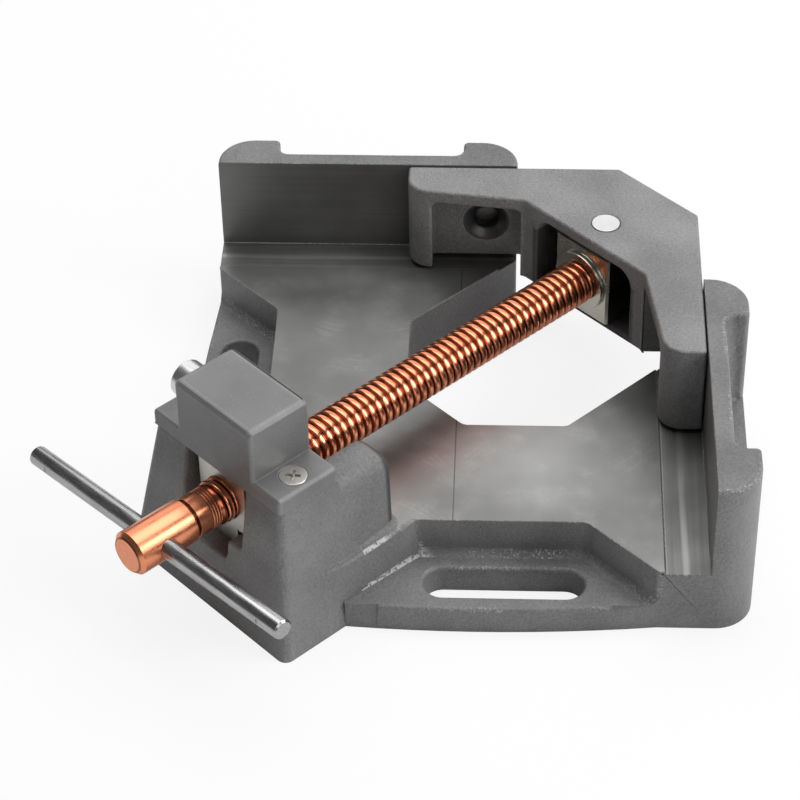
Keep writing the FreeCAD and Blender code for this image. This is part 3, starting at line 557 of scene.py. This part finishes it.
def copper_plate(name, copper, threaded):
    """Copper plate, with painted shade in the thread's roots and in the head's groove."""
    finish = Finish(name, Metallic=1.0)
    along, across = finish.diagonal()
    up = finish.axis("Z") - AXIS_HEIGHT
    radius = finish.hypotenuse(across, up)
    clouds = finish.noise(120, detail=3)
    colour = finish.mix(clouds, shade(copper, 0.93), shade(copper, 1.04))
    if threaded:
        # painted shade: dark red-brown on the roots and flanks of the thread, stronger in random
        # patches
        root = 1 - finish.band(radius, 7.1 * MM, 7.86 * MM)
        shade_patches = finish.band(finish.noise(260, detail=2), 0.3, 0.7)
        colour = finish.mix(root * (shade_patches * 0.2 + 0.8), colour, shade((0.42, 0.19, 0.13)))
        blush = finish.band(finish.noise(150, detail=1), 0.5, 0.72)
        colour = finish.mix(blush * 0.45, colour, shade((0.7, 0.33, 0.22)))
        finish.set("Roughness", finish.band(clouds, 0.3, 0.7) * 0.08 + 0.19)
    else:
        # painted shade past the end face on parts thinner than 7 mm (ring groove, thread-start
        # lines, all of the journal), and a ring of painted shade round the end face's edge
        low = 1 - finish.band(radius, 6.95 * MM, 7.15 * MM)
        behind = finish.band(along, -265 * MM, -264 * MM)
        rim = finish.between(radius, 5.7 * MM, 6.1 * MM, 6.3 * MM, 6.8 * MM)
        dark = finish.maths("MAXIMUM", low * behind, rim * (1 - behind) * 0.7)
        colour = finish.mix(dark, colour, shade((0.3, 0.15, 0.1)))
        finish.set("Roughness", finish.band(clouds, 0.3, 0.7) * 0.1 + 0.22)
        rings = finish.streaks(along + clouds * (0.2 * MM), 0.5 * MM)
        finish.set("Normal", finish.relief(rings, 0.003 * MM, 0.35))
    finish.set("Base Color", colour)
    return finish.material


def bright_metal(name, metal, roughness, grain=0.0):
    """Plated or turned steel with faint clouds, scratches and fine grain."""
    finish = Finish(name, Metallic=1.0)
    clouds = finish.noise(140, detail=3)
    scratches = finish.noise(1500, detail=2, stretch=(0.15, 1, 1), turn=0.6)
    scratches = finish.band(scratches, 0.6, 0.8)
    finish.set("Base Color", finish.mix(clouds, shade(metal, 0.93), shade(metal, 1.05)))
    finish.set("Roughness", clouds * 0.12 + scratches * 0.12 + roughness)
    if grain:
        finish.set("Normal", finish.relief(finish.noise(2600, detail=2), grain, 0.4))
    return finish.material


def steel_bar(name):
    """The drawn bar, which lies across the diagonal: marks along its length."""
    finish = Finish(name, Metallic=1.0)
    marks = finish.noise(1700, detail=3, stretch=(0.03, 1, 1), turn=math.radians(45))
    clouds = finish.noise(90, detail=3)
    tone = finish.band(marks * 0.6 + clouds * 0.4, 0.3, 0.7)
    finish.set("Base Color", finish.mix(tone, grey(0.6), grey(0.74)))
    finish.set("Roughness", tone * 0.1 + 0.22)
    finish.set("Normal", finish.relief(marks, 0.005 * MM, 0.2))
    return finish.material


def face_slots(piece, rules, edge_slot):
    """Give each flat face the slot of the first rule that its middle and normal meet."""
    for face in piece.data.polygons:
        if face.material_index == edge_slot:
            continue
        for slot, test in rules:
            if test(face.center / MM, face.normal):
                face.material_index = slot
                break


class ClampOperator:
    bl_options = {"REGISTER", "UNDO"}

    def execute(self, context):
        self.build(context.scene.clamp_sizes, context.scene.clamp_colours)
        return {"FINISHED"}


class CLAMP_OT_base(ClampOperator, bpy.types.Operator):
    """Base casting: rounded cast edges, milled table and ground fences"""

    bl_idname = "clamp.base"
    bl_label = "Base casting"

    def by_window(self, middle, normal):
        """Faces round the nut's window, which keep the plain paint, free of wear specks and
        painted glints.
        """
        along, across, _ = diagonal(middle)
        return along < -206 and abs(across) < 16

    def on_shelf(self, middle):
        along, across, height = diagonal(middle)
        return along < -182 and abs(across) > 36 and abs(height - TABLE_TOP) < 0.5

    def stays_sharp(self, middle):
        """Edges that another piece hides, that a skin covers or that lie close together."""
        along, across, height = diagonal(middle)
        wide = abs(across)
        inner, outer = sorted((middle.x, middle.y))
        bench_side = height < 0.3
        under_cap = along < -180 and height > 55.4
        cheek_tops = -187 < along < -180 and height > 53.5
        block_back = abs(along + 203.6) < 3 and wide > 27
        cheek_room = -204 < along < -182 and 9 < wide < 32.5 and height > 24.9
        stud_hole = across < -12 and math.hypot(along + 199.5, height - 46.4) < 6
        lug_feet = outer > 12.5 and height < 25
        ear_tips = inner < -173 and outer > -18.5 and height < 14
        ear_rims = inner < -160 and outer > -34 and 8 < height < 14
        shelf_start = abs(along + 208.5) < 6.5 and 36 < wide < 43
        ear_corners = abs(along + 176) < 2.5 and 38.5 < wide < 41.5 and height < 13.4
        tongue_seat = wide < 5 and abs(along + 209.9) < 3 and height < 27
        hidden = bench_side or under_cap or block_back or stud_hole or tongue_seat
        skinned = cheek_tops or cheek_room or shelf_start
        crowded = lug_feet or ear_tips or ear_rims or ear_corners
        return hidden or skinned or crowded

    def build(self, sizes, colours):
        piece = traced("base_casting", "base_looks")
        for side in (-1, 1):
            bpy.ops.mesh.primitive_cube_add(size=1)
            room = bpy.context.object
            room.scale = (20.9 * MM, 21.7 * MM, 32 * MM)
            room.location = (-192.75 * MM, side * 20.85 * MM, 41.1 * MM)
            fix_place(room)
            lay(room, DIAGONAL)
            cut_away(piece, room)
        give(
            piece,
            painted_iron("casting_paint", colours.paint),
            painted_iron("casting_edge", colours.paint, wear_and_glints=0.14, rubbed_and_highlit=True),
            milled_iron("milled_table", colours.bare_iron),
            ground_iron("ground_back_fence", colours.bare_iron, MARKS_ALONG_X),
            ground_iron("ground_side_fence", colours.bare_iron, MARKS_ALONG_Y),
            groove_iron("back_groove", colours.bare_iron, "Y", MARKS_ALONG_X),
            groove_iron("side_groove", colours.bare_iron, "X", MARKS_ALONG_Y),
        )

        def table(middle, normal):
            return normal.z > 0.99 and abs(middle.z - TABLE_TOP) < 0.3

        def back(middle, normal):
            return normal.y < -0.98 and abs(middle.y) < 0.3

        def side(middle, normal):
            return normal.x < -0.98 and abs(middle.x) < 0.3

        def in_groove(middle, normal):
            return normal.z > 0.9 and 22 < middle.z < 25

        def back_groove(middle, normal):
            return in_groove(middle, normal) and -16 < middle.y < 0

        def side_groove(middle, normal):
            return in_groove(middle, normal) and -16 < middle.x < 0

        # the ear's root fillet takes the edge finish, whose light specks are partly wear, partly a
        # painted highlight along the root
        def ear_root(middle, normal):
            in_fillet = 10.3 < middle.z < 13.3 and 0.15 < normal.z < 0.99
            return in_fillet and max(middle.x, middle.y) < -17

        rules = (
            (2, table),
            (3, back),
            (4, side),
            (5, back_groove),
            (6, side_groove),
            (1, ear_root),
        )

        share = sizes.milled_edge / sizes.casting_edge

        def weight(middle, pair):
            if self.stays_sharp(middle):
                return 0.0
            if self.on_shelf(middle):
                return 1.0
            beside = [test(face.center / MM, face.normal) for face in pair for slot, test in rules]
            return share if any(beside) else 1.0

        weigh_edges(piece, weight, math.radians(30))
        round_edges(piece, sizes.casting_edge, edge_slot=1, limit="WEIGHT", clamp=False)
        face_slots(piece, ((0, self.by_window),), edge_slot=-1)
        face_slots(piece, rules, edge_slot=1)
        settle(piece, "base", "painted_casting", "base_casting")


class CLAMP_OT_cheeks(ClampOperator, bpy.types.Operator):
    """The two cheeks behind the pedestal: soft on top, blended into shelf and block"""

    bl_idname = "clamp.cheeks"
    bl_label = "Cheeks"

    # in millimetres; the hollow's parts are shares of its columns
    start = -209.0
    back = -181.4
    inner = 17.5
    foot = 25.0
    top = 55.7
    corner = 3.8
    shelf = 25.21
    shelf_edge = 37.1
    side_part = 0.6
    corner_part = 0.2
    corner_radius = 2.4
    back_radius = 1.6
    back_run = 12

    def side_reach(self, along, height):
        """How far out the side stands: flush with the block, then a little wider."""
        share = (along - self.start) / (self.back - self.start)
        rise = (height - self.foot) / (self.top - self.foot)
        foot_reach = 36.25 + (34.6 - 36.25) * share
        top_reach = 31.5 + (33.7 - 31.5) * share
        return foot_reach + (top_reach - foot_reach) * rise

    def cheek(self, name, side, width):
        bpy.ops.mesh.primitive_cube_add(size=2)
        piece = bpy.context.object
        piece.name = name
        for vertex in piece.data.vertices:
            along = self.back if vertex.co.x > 0 else self.start
            height = self.top if vertex.co.z > 0 else self.foot
            across = self.side_reach(along, height) if vertex.co.y > 0 else self.inner
            vertex.co = (along * MM, -across * side * MM, height * MM)

        def weight(middle, pair):
            rear = middle.x > self.back - 1
            upper = middle.z > self.top - 1
            if upper:
                return 1.0
            return 0.5 if rear else 0.0

        face_outward(piece)
        weigh_edges(piece, weight, math.radians(30))
        apply_modifier(
            piece,
            "BEVEL",
            width=width,
            segments=8,
            limit_method="WEIGHT",
            use_clamp_overlap=False,
        )
        return piece

    def sheet(self, name, side, columns, rows, place):
        """A grid laid over the casting; place gives (along, across, height) for two shares."""
        bpy.ops.mesh.primitive_grid_add(x_subdivisions=columns, y_subdivisions=rows, size=1)
        piece = bpy.context.object
        piece.name = name
        for vertex in piece.data.vertices:
            along, across, height = place(vertex.co.x + 0.5, vertex.co.y + 0.5)
            vertex.co = (along * MM, -across * side * MM, height * MM)
        return piece

    def hollow(self, column, row):
        """The hollow foot: along the side, round the corner and along the back."""
        angle = math.pi / 2 * row
        turning = self.back - self.corner
        into_corner = (column - self.side_part) / self.corner_part
        into_back = into_corner - 1
        if into_corner <= 0:
            along = self.start + (turning - self.start) * column / self.side_part
            middle = (along, 0.0)
            out = (0.0, 1.0)
            radius = self.shelf_edge - self.side_reach(along, self.shelf)
        elif into_back <= 0:
            turn = math.pi / 2 * into_corner
            middle = (turning, -self.corner)
            out = (math.sin(turn), math.cos(turn))
            radius = self.corner_radius + (self.back_radius - self.corner_radius) * into_corner
        else:
            middle = (turning, -self.corner - self.back_run * into_back)
            out = (1.0, 0.0)
            radius = self.back_radius
        reach = radius * (1 - math.sin(angle))
        height = self.shelf + radius * (1 - math.cos(angle))
        side = self.side_reach(min(middle[0], turning), height)
        out_reach = reach + (self.corner if into_corner > 0 else 0)
        return middle[0] + out[0] * out_reach, side + middle[1] + out[1] * out_reach, height

    def blend(self, column, row):
        """From the block's side to the side of the shelf, with the shelf's round edge."""
        start = -217
        end = -199
        fade = -216
        fade_length = 12
        along = start + column * (end - start)
        share = min(max((along - fade) / fade_length, 0), 1)
        share = share * share * (3 - 2 * share)
        radius = 1.25
        foot = 0.2
        if row <= 0.5:
            height = foot + (self.shelf - radius - foot) * row / 0.5
            drop = 0.0
        elif row <= 0.9:
            angle = math.pi / 2 * (row - 0.5) / 0.4
            height = self.shelf - radius * (1 - math.sin(angle))
            drop = radius * (1 - math.cos(angle))
        else:
            height = self.shelf
            drop = radius + 3
        pedestal_foot = 40.3
        block = pedestal_foot - 8.7 * height / self.top
        shelf = pedestal_foot - 2.1 * height / TABLE_TOP
        clear = 0.05
        return along, block + (shelf - block) * share + clear - drop, height

    def build(self, sizes, colours):
        paint = bpy.data.materials["casting_paint"]
        # painted shade on the rounded rear end of each cheek
        shaded_cheek_paint = painted_iron("cheek_paint", colours.paint, painted_shade=(-185.6, 60, 60))
        for name, side in (("right", 1), ("left", -1)):
            cheek = self.cheek(name + "_cheek_looks", side, sizes.cheek_edge)
            hollow = self.sheet(name + "_cheek_foot", side, 50, 8, self.hollow)
            blend = self.sheet(name + "_shelf_blend", side, 18, 20, self.blend)
            for piece, material in ((cheek, shaded_cheek_paint), (hollow, paint), (blend, paint)):
                face_outward(piece)
                lay(piece, DIAGONAL)
                smooth(piece, 50)
                give(piece, material)
                settle(piece, "base", "painted_casting")


class CLAMP_OT_cap(ClampOperator, bpy.types.Operator):
    """Cap over the nut"""

    bl_idname = "clamp.cap"
    bl_label = "Nut cap"

    def build(self, sizes, colours):
        piece = traced("nut_cap", "cap_looks")
        give(
            piece,
            satin_paint("cap_paint", colours.cap_paint),
            # a lighter copy of the cap paint on the rounded edges: partly light wear, partly a
            # painted highlight
            satin_paint("cap_edge", colours.cap_paint, gain=1.09),
        )

        def weight(middle, pair):
            along, across, height = diagonal(middle)
            from_screw = math.hypot(along - CAP_SCREW_ALONG, abs(across) - CAP_SCREW_ACROSS)
            return 0.12 if from_screw < 6.5 or height < 56 else 1.0

        weigh_edges(piece, weight, SHARP_ANGLE)
        round_edges(piece, sizes.cap_edge, edge_slot=1, limit="WEIGHT", clamp=False)
        settle(piece, "base", "satin_cap", "nut_cap")


class CLAMP_OT_jaw(ClampOperator, bpy.types.Operator):
    """V-jaw: cast body with ground outer faces"""

    bl_idname = "clamp.jaw"
    bl_label = "V-jaw"

    def from_hole(self, middle):
        """How far a point in an arm's outer wall lies from the axis of the arm's hole."""
        inner, outer = sorted((middle.x, middle.y))
        if -7.35 < outer < -0.6:
            return math.hypot(inner + ARM_HOLE_PLACE, middle.z - ARM_HOLE_HEIGHT)
        return math.inf

    def build(self, sizes, colours):
        piece = traced("v_jaw", "jaw_looks")
        # painted shade in the jaw's fork, under its top web
        painted_shade = (-90, 26, 51.5)
        give(
            piece,
            painted_iron("jaw_paint", colours.jaw_paint, grain_height=0.5, painted_shade=painted_shade),
            painted_iron("jaw_edge", colours.jaw_paint, wear_and_glints=0.04, painted_shade=painted_shade),
            ground_iron("ground_jaw_back", colours.bare_iron, MARKS_ALONG_X),
            ground_iron("ground_jaw_side", colours.bare_iron, MARKS_ALONG_Y),
            bright_metal("drilled_iron", (0.36, 0.36, 0.36), 0.4),
            # painted shade: the bore of the arm's hole is painted nearly black, as it lies in
            # shade
            painted_iron("bore_shade", (0.13, 0.13, 0.13)),
        )
        round_edges(piece, sizes.jaw_edge, edge_slot=1, clamp=False)

        def back(middle, normal):
            return normal.y > 0.98 and middle.y > -1

        def side(middle, normal):
            return normal.x > 0.98 and middle.x > -1

        def hole(middle, normal):
            return self.from_hole(middle) < 8.4

        def bore(middle, normal):
            return self.from_hole(middle) < 4.6

        face_slots(piece, ((2, back), (3, side), (5, bore), (4, hole)), edge_slot=-1)
        settle(piece, "jaw", "painted_casting", "v_jaw")


class CLAMP_OT_plated(ClampOperator, bpy.types.Operator):
    """Nut, swivel block, washer and pins"""

    bl_idname = "clamp.plated"
    bl_label = "Nut, block and pins"

    def build(self, sizes, colours):
        zinc = bright_metal("zinc_plate", colours.zinc, 0.3, 0.02 * MM)
        nickel = bright_metal("nickel_plate", (0.78, 0.77, 0.73), 0.16)
        steel = bright_metal("turned_steel", (0.86, 0.86, 0.86), 0.24, 0.01 * MM)
        faced = bright_metal("faced_steel", (0.84, 0.84, 0.84), 0.42, 0.01 * MM)
        rows = (
            ("swivel_nut", "nut", "zinc_steel", zinc),
            ("swivel_block", "carriage", "nickel_plate", nickel),
            ("thrust_washer", "carriage", "nickel_plate", nickel),
            ("thrust_disc", "carriage", "bright_steel", steel),
            ("keeper_pins", "carriage", "bright_steel", steel),
            ("cheek_screw", "base", "bright_steel", steel),
            ("upper_pivot_pin", "jaw", "bright_steel", faced),
            ("lower_pivot_pin", "jaw", "bright_steel", faced),
        )
        for node, body, slot, material in rows:
            piece = traced(node, node + "_looks")
            give(piece, material)
            round_edges(piece, sizes.plated_edge, segments=2)
            settle(piece, body, slot, node)


def thread_profile(sizes, radius):
    """One pitch of the thread, from root to root: flanks and a broad rounded crest."""
    pitch = sizes.thread_pitch
    depth = sizes.thread_depth
    rise = [(0.05, 1.0), (0.11, 0.6), (0.17, 0.26), (0.24, 0.08), (0.35, 0.01)]
    fall_off = [(1 - along, fall) for along, fall in reversed(rise)]
    shape = [(0.0, 1.0), *rise, (0.5, 0.0), *fall_off]
    return [(pitch * along, radius - depth * fall) for along, fall in shape]


class CLAMP_OT_spindle(ClampOperator, bpy.types.Operator):
    """Copper-plated spindle with a real helical thread"""

    bl_idname = "clamp.spindle"
    bl_label = "Spindle"

    radius = 7.94 * MM
    collar = 7.2 * MM
    start = -232.6 * MM
    runout_end = -230.4 * MM
    end = -61 * MM
    journal_profile = (
        (-61, 0), (-61, 6), (-56.2, 6), (-56.2, 4.5), (-53, 4.5),
        (-53, 6), (-41, 6), (-40.6, 5.6), (-40.6, 0),
    )

    def thread(self, sizes):
        """The helix, cut off flat at both ends and run out into the collar."""
        profile = thread_profile(sizes, self.radius)
        profile.append((sizes.thread_pitch, profile[0][1]))
        turns = math.ceil((self.end - self.start) / sizes.thread_pitch) + 2
        piece = ring("spindle_looks", profile)
        edit(piece)
        bpy.ops.mesh.select_all(action="DESELECT")
        leave()
        last = len(profile) - 1
        for edge in piece.data.edges:
            edge.select = set(edge.vertices) == {0, last}
        bpy.ops.object.mode_set(mode="EDIT")
        bpy.ops.mesh.select_mode(type="EDGE")
        bpy.ops.mesh.delete(type="EDGE_FACE")
        leave()
        apply_modifier(
            piece,
            "SCREW",
            axis="X",
            angle=math.tau,
            screw_offset=sizes.thread_pitch,
            iterations=turns,
            steps=sizes.thread_steps,
            render_steps=sizes.thread_steps,
            use_merge_vertices=True,
            merge_threshold=1e-6,
        )
        lay(piece, Matrix.Translation((self.start - 1.5 * sizes.thread_pitch, 0, 0)))
        edit(piece)
        bpy.ops.mesh.remove_doubles(threshold=2e-6)
        for place, side in ((self.start, -1), (self.end, 1)):
            bpy.ops.mesh.select_all(action="SELECT")
            bpy.ops.mesh.bisect(
                plane_co=(place, 0, 0),
                plane_no=(side, 0, 0),
                use_fill=True,
                clear_outer=True,
            )
        bpy.ops.mesh.select_all(action="SELECT")
        bpy.ops.mesh.normals_make_consistent(inside=False)
        leave()
        for vertex in piece.data.vertices:
            across = math.hypot(vertex.co.y, vertex.co.z)
            if vertex.co.x < self.runout_end and across > 1 * MM:
                fade = (vertex.co.x - self.start) / (self.runout_end - self.start)
                wanted = self.collar + (across - self.collar) * max(fade, 0)
                vertex.co.y *= wanted / across
                vertex.co.z *= wanted / across
        return piece

    def head_profile(self):
        """Head, ring groove, smooth collar and the shallow lines where the thread starts."""
        collar = 7.2
        profile = [
            (-266.5, 0),
            (-266.5, 6.2),
            (-264.9, 7.8),
            (-242.9, 7.8),
            (-242.5, 7.4),
            (-242.5, 6.9),
            (-241.3, 6.9),
            (-241.2, collar),
            (-236.4, collar),
        ]
        for line in range(4):
            place = -236.2 + line * 1.05
            profile += [(place, collar), (place + 0.25, 6.95), (place + 0.5, collar)]
        return profile + [(-232.2, collar), (-232.2, 0)]

    def build(self, sizes, colours):
        thread = self.thread(sizes)
        give(thread, copper_plate("copper_thread", colours.copper, threaded=True))
        smooth(thread, 50)
        head = turned("spindle_head_looks", self.head_profile())
        bpy.ops.mesh.primitive_cylinder_add(
            vertices=64,
            radius=3.55 * MM,
            depth=30 * MM,
            location=(BAR_PLACE, 0, 0),
            rotation=(math.pi / 2 - BAR_TILT, 0, 0),
        )
        cut_away(head, bpy.context.object)
        give(head, copper_plate("copper_head", colours.copper, threaded=False))
        round_edges(head, 0.25 * MM, segments=2)
        journal = turned("spindle_journal_looks", self.journal_profile)
        give(journal, copper_plate("copper_journal", colours.copper, threaded=False))
        smooth(journal)
        place = DIAGONAL @ Matrix.Translation((0, 0, AXIS_HEIGHT))
        for piece in (thread, head, journal):
            lay(piece, place)
            settle(piece, "screw", "copper_plated_steel")
        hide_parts("spindle")


class CLAMP_OT_bar(ClampOperator, bpy.types.Operator):
    """Sliding handle bar with staked ends"""

    bl_idname = "clamp.bar"
    bl_label = "Handle bar"

    def build(self, sizes, colours):
        half = 63.85
        radius = 3.5
        end = [(half, 0), (half, radius - 0.7), (half - 0.5, radius - 0.1), (half - 0.9, radius)]
        profile = [(-along, reach) for along, reach in end] + end[::-1]
        bar = turned("handle_bar_looks", profile, steps=64)
        for side in (-1, 1):
            for turn in (-1, 1):
                bpy.ops.mesh.primitive_cube_add(
                    size=1,
                    location=(side * (half - 9) * MM, turn * radius * MM, 0),
                    scale=(0.7 * MM, 0.5 * MM, 3 * MM),
                )
                cut_away(bar, bpy.context.object)
        give(bar, steel_bar("drawn_steel"))
        smooth(bar)
        tilt = Matrix.Rotation(-BAR_TILT, 4, "X") @ Matrix.Rotation(math.pi / 2, 4, "Z")
        lay(bar, DIAGONAL @ Matrix.Translation((BAR_PLACE, 0, AXIS_HEIGHT)) @ tilt)
        settle(bar, "bar", "bright_steel", "handle_bar")


class CLAMP_OT_screws(ClampOperator, bpy.types.Operator):
    """Countersunk cross-recess screws of the cap"""

    bl_idname = "clamp.screws"
    bl_label = "Cap screws"

    def build(self, sizes, colours):
        head = 4.85
        shank = 2.5
        length = 20
        profile = [
            (0, 0),
            (0, head - 0.35),
            (0.25, head),
            (head - shank, shank),
            (length, shank),
            (length, 0),
        ]
        screw = turned("cap_screws_looks", profile, steps=64)
        for turn in (0, math.pi / 2):
            bpy.ops.mesh.primitive_cube_add(size=1, location=(0, 0, 0))
            cutter = bpy.context.object
            for vertex in cutter.data.vertices:
                deep = vertex.co.x > 0
                vertex.co.x = 2.2 * MM if deep else -0.5 * MM
                vertex.co.y *= (0.8 if deep else 1.3) * MM
                vertex.co.z *= (2.6 if deep else 5.6) * MM
            lay(cutter, Matrix.Rotation(turn, 4, "X"))
            cut_away(screw, cutter)
        give(screw, bright_metal("screw_zinc", colours.zinc, 0.28, 0.015 * MM))
        round_edges(screw, 0.12 * MM, segments=2)
        down = Matrix.Rotation(math.pi / 2, 4, "Y")
        other = screw.copy()
        other.data = screw.data.copy()
        bpy.context.scene.collection.objects.link(other)
        for piece, side, turn in ((screw, 1, 0.2), (other, -1, 0.7)):
            place = Vector((CAP_SCREW_ALONG, side * CAP_SCREW_ACROSS, CAP_TOP)) * MM
            spot = DIAGONAL @ Matrix.Translation(place)
            lay(piece, spot @ Matrix.Rotation(turn, 4, "Z") @ down)
        deselect()
        other.select_set(True)
        screw.select_set(True)
        bpy.context.view_layer.objects.active = screw
        bpy.ops.object.join()
        settle(screw, "base", "zinc_steel", "cap_screws")


class CLAMP_OT_studio(bpy.types.Operator):
    """Floor, soft lights and the camera of the catalogue picture"""

    bl_idname = "clamp.studio"
    bl_label = "Studio"
    bl_options = {"REGISTER", "UNDO"}

    def floor(self):
        bpy.ops.mesh.primitive_plane_add(size=6, location=(-0.1, -0.1, 0))
        floor = bpy.context.object
        floor.name = "floor"
        fix_place(floor)
        material = bpy.data.materials.new("pale_floor")
        material.use_nodes = True
        nodes = material.node_tree.nodes
        links = material.node_tree.links
        nodes.clear()
        output = nodes.new("ShaderNodeOutputMaterial")
        diffuse = nodes.new("ShaderNodeBsdfDiffuse")
        diffuse.inputs["Color"].default_value = (0.9, 0.9, 0.9, 1)
        glow = nodes.new("ShaderNodeEmission")
        paths = nodes.new("ShaderNodeLightPath")
        share = nodes.new("ShaderNodeMath")
        share.operation = "MULTIPLY"
        share.inputs[1].default_value = 0.84
        mix = nodes.new("ShaderNodeMixShader")
        links.new(paths.outputs["Is Camera Ray"], share.inputs[0])
        links.new(share.outputs[0], mix.inputs[0])
        links.new(diffuse.outputs[0], mix.inputs[1])
        links.new(glow.outputs[0], mix.inputs[2])
        links.new(mix.outputs[0], output.inputs[0])
        give(floor, material)

    def lamp(self, name, place, target, size, power):
        bpy.ops.object.light_add(type="AREA", location=place)
        lamp = bpy.context.object
        lamp.name = name
        lamp.data.shape = "RECTANGLE"
        lamp.data.size, lamp.data.size_y = size
        lamp.data.energy = power
        aim = Vector(target) - Vector(place)
        lamp.rotation_euler = aim.to_track_quat("-Z", "Y").to_euler()

    def camera(self, view):
        back = Vector(
            (
                math.sin(view.azimuth) * math.cos(view.elevation),
                -math.cos(view.azimuth) * math.cos(view.elevation),
                math.sin(view.elevation),
            )
        )
        right = Vector((math.cos(view.azimuth), math.sin(view.azimuth), 0))
        up = back.cross(right)
        side = right * math.cos(view.roll) + up * math.sin(view.roll)
        top = up * math.cos(view.roll) - right * math.sin(view.roll)
        place = Vector(view.target) + back * view.distance
        bpy.ops.object.camera_add(location=place)
        camera = bpy.context.object
        camera.name = "catalogue_camera"
        turn = Matrix((side, top, back)).transposed().to_4x4()
        camera.matrix_world = Matrix.Translation(place) @ turn
        camera.data.sensor_width = 36
        camera.data.sensor_fit = "HORIZONTAL"
        camera.data.lens = view.focal_length
        camera.data.clip_start = 0.01
        bpy.context.scene.camera = camera

    def execute(self, context):
        deselect()
        self.floor()
        middle = (-0.11, -0.1, 0.03)
        self.lamp("ceiling", (-0.05, 0.25, 1.5), middle, (1.6, 1.2), 17)
        self.lamp("right_window", (1.2, -0.25, 0.85), middle, (0.7, 0.8), 12)
        self.lamp("front_fill", (0.7, -1.4, 0.8), middle, (0.9, 0.9), 5)
        self.lamp("backdrop", (0.1, 1.7, 1.1), middle, (2.4, 1.2), 11)
        world = bpy.data.worlds.new("studio_air")
        world.use_nodes = True
        air = world.node_tree.nodes["Background"]
        air.inputs["Color"].default_value = (1, 1, 1, 1)
        air.inputs["Strength"].default_value = 0.11
        context.scene.world = world
        self.camera(context.scene.clamp_view)
        context.scene.view_settings.view_transform = "Standard"
        return {"FINISHED"}


class CLAMP_PT_panel(bpy.types.Panel):
    """The clamp's pieces and settings"""

    bl_idname = "CLAMP_PT_panel"
    bl_label = "Corner clamp"
    bl_space_type = "VIEW_3D"
    bl_region_type = "UI"
    bl_category = "Clamp"

    def draw(self, context):
        for operator in OPERATORS:
            self.layout.operator(operator.bl_idname)
        for group in (context.scene.clamp_sizes, context.scene.clamp_colours):
            for name in group.bl_rna.properties.keys():
                if name not in ("rna_type", "name"):
                    self.layout.prop(group, name)


OPERATORS = (
    CLAMP_OT_base,
    CLAMP_OT_cheeks,
    CLAMP_OT_cap,
    CLAMP_OT_jaw,
    CLAMP_OT_plated,
    CLAMP_OT_spindle,
    CLAMP_OT_bar,
    CLAMP_OT_screws,
    CLAMP_OT_studio,
)
CLASSES = (ClampSizes, ClampColours, ClampView, *OPERATORS, CLAMP_PT_panel)


def register():
    for cls in CLASSES:
        bpy.utils.register_class(cls)
    bpy.types.Scene.clamp_sizes = PointerProperty(type=ClampSizes)
    bpy.types.Scene.clamp_colours = PointerProperty(type=ClampColours)
    bpy.types.Scene.clamp_view = PointerProperty(type=ClampView)


def unregister():
    del bpy.types.Scene.clamp_view
    del bpy.types.Scene.clamp_colours
    del bpy.types.Scene.clamp_sizes
    for cls in reversed(CLASSES):
        bpy.utils.unregister_class(cls)


def main():
    register()
    for operator in OPERATORS:
        area, name = operator.bl_idname.split(".")
        getattr(getattr(bpy.ops, area), name)()


if __name__ == "__main__":
    main()
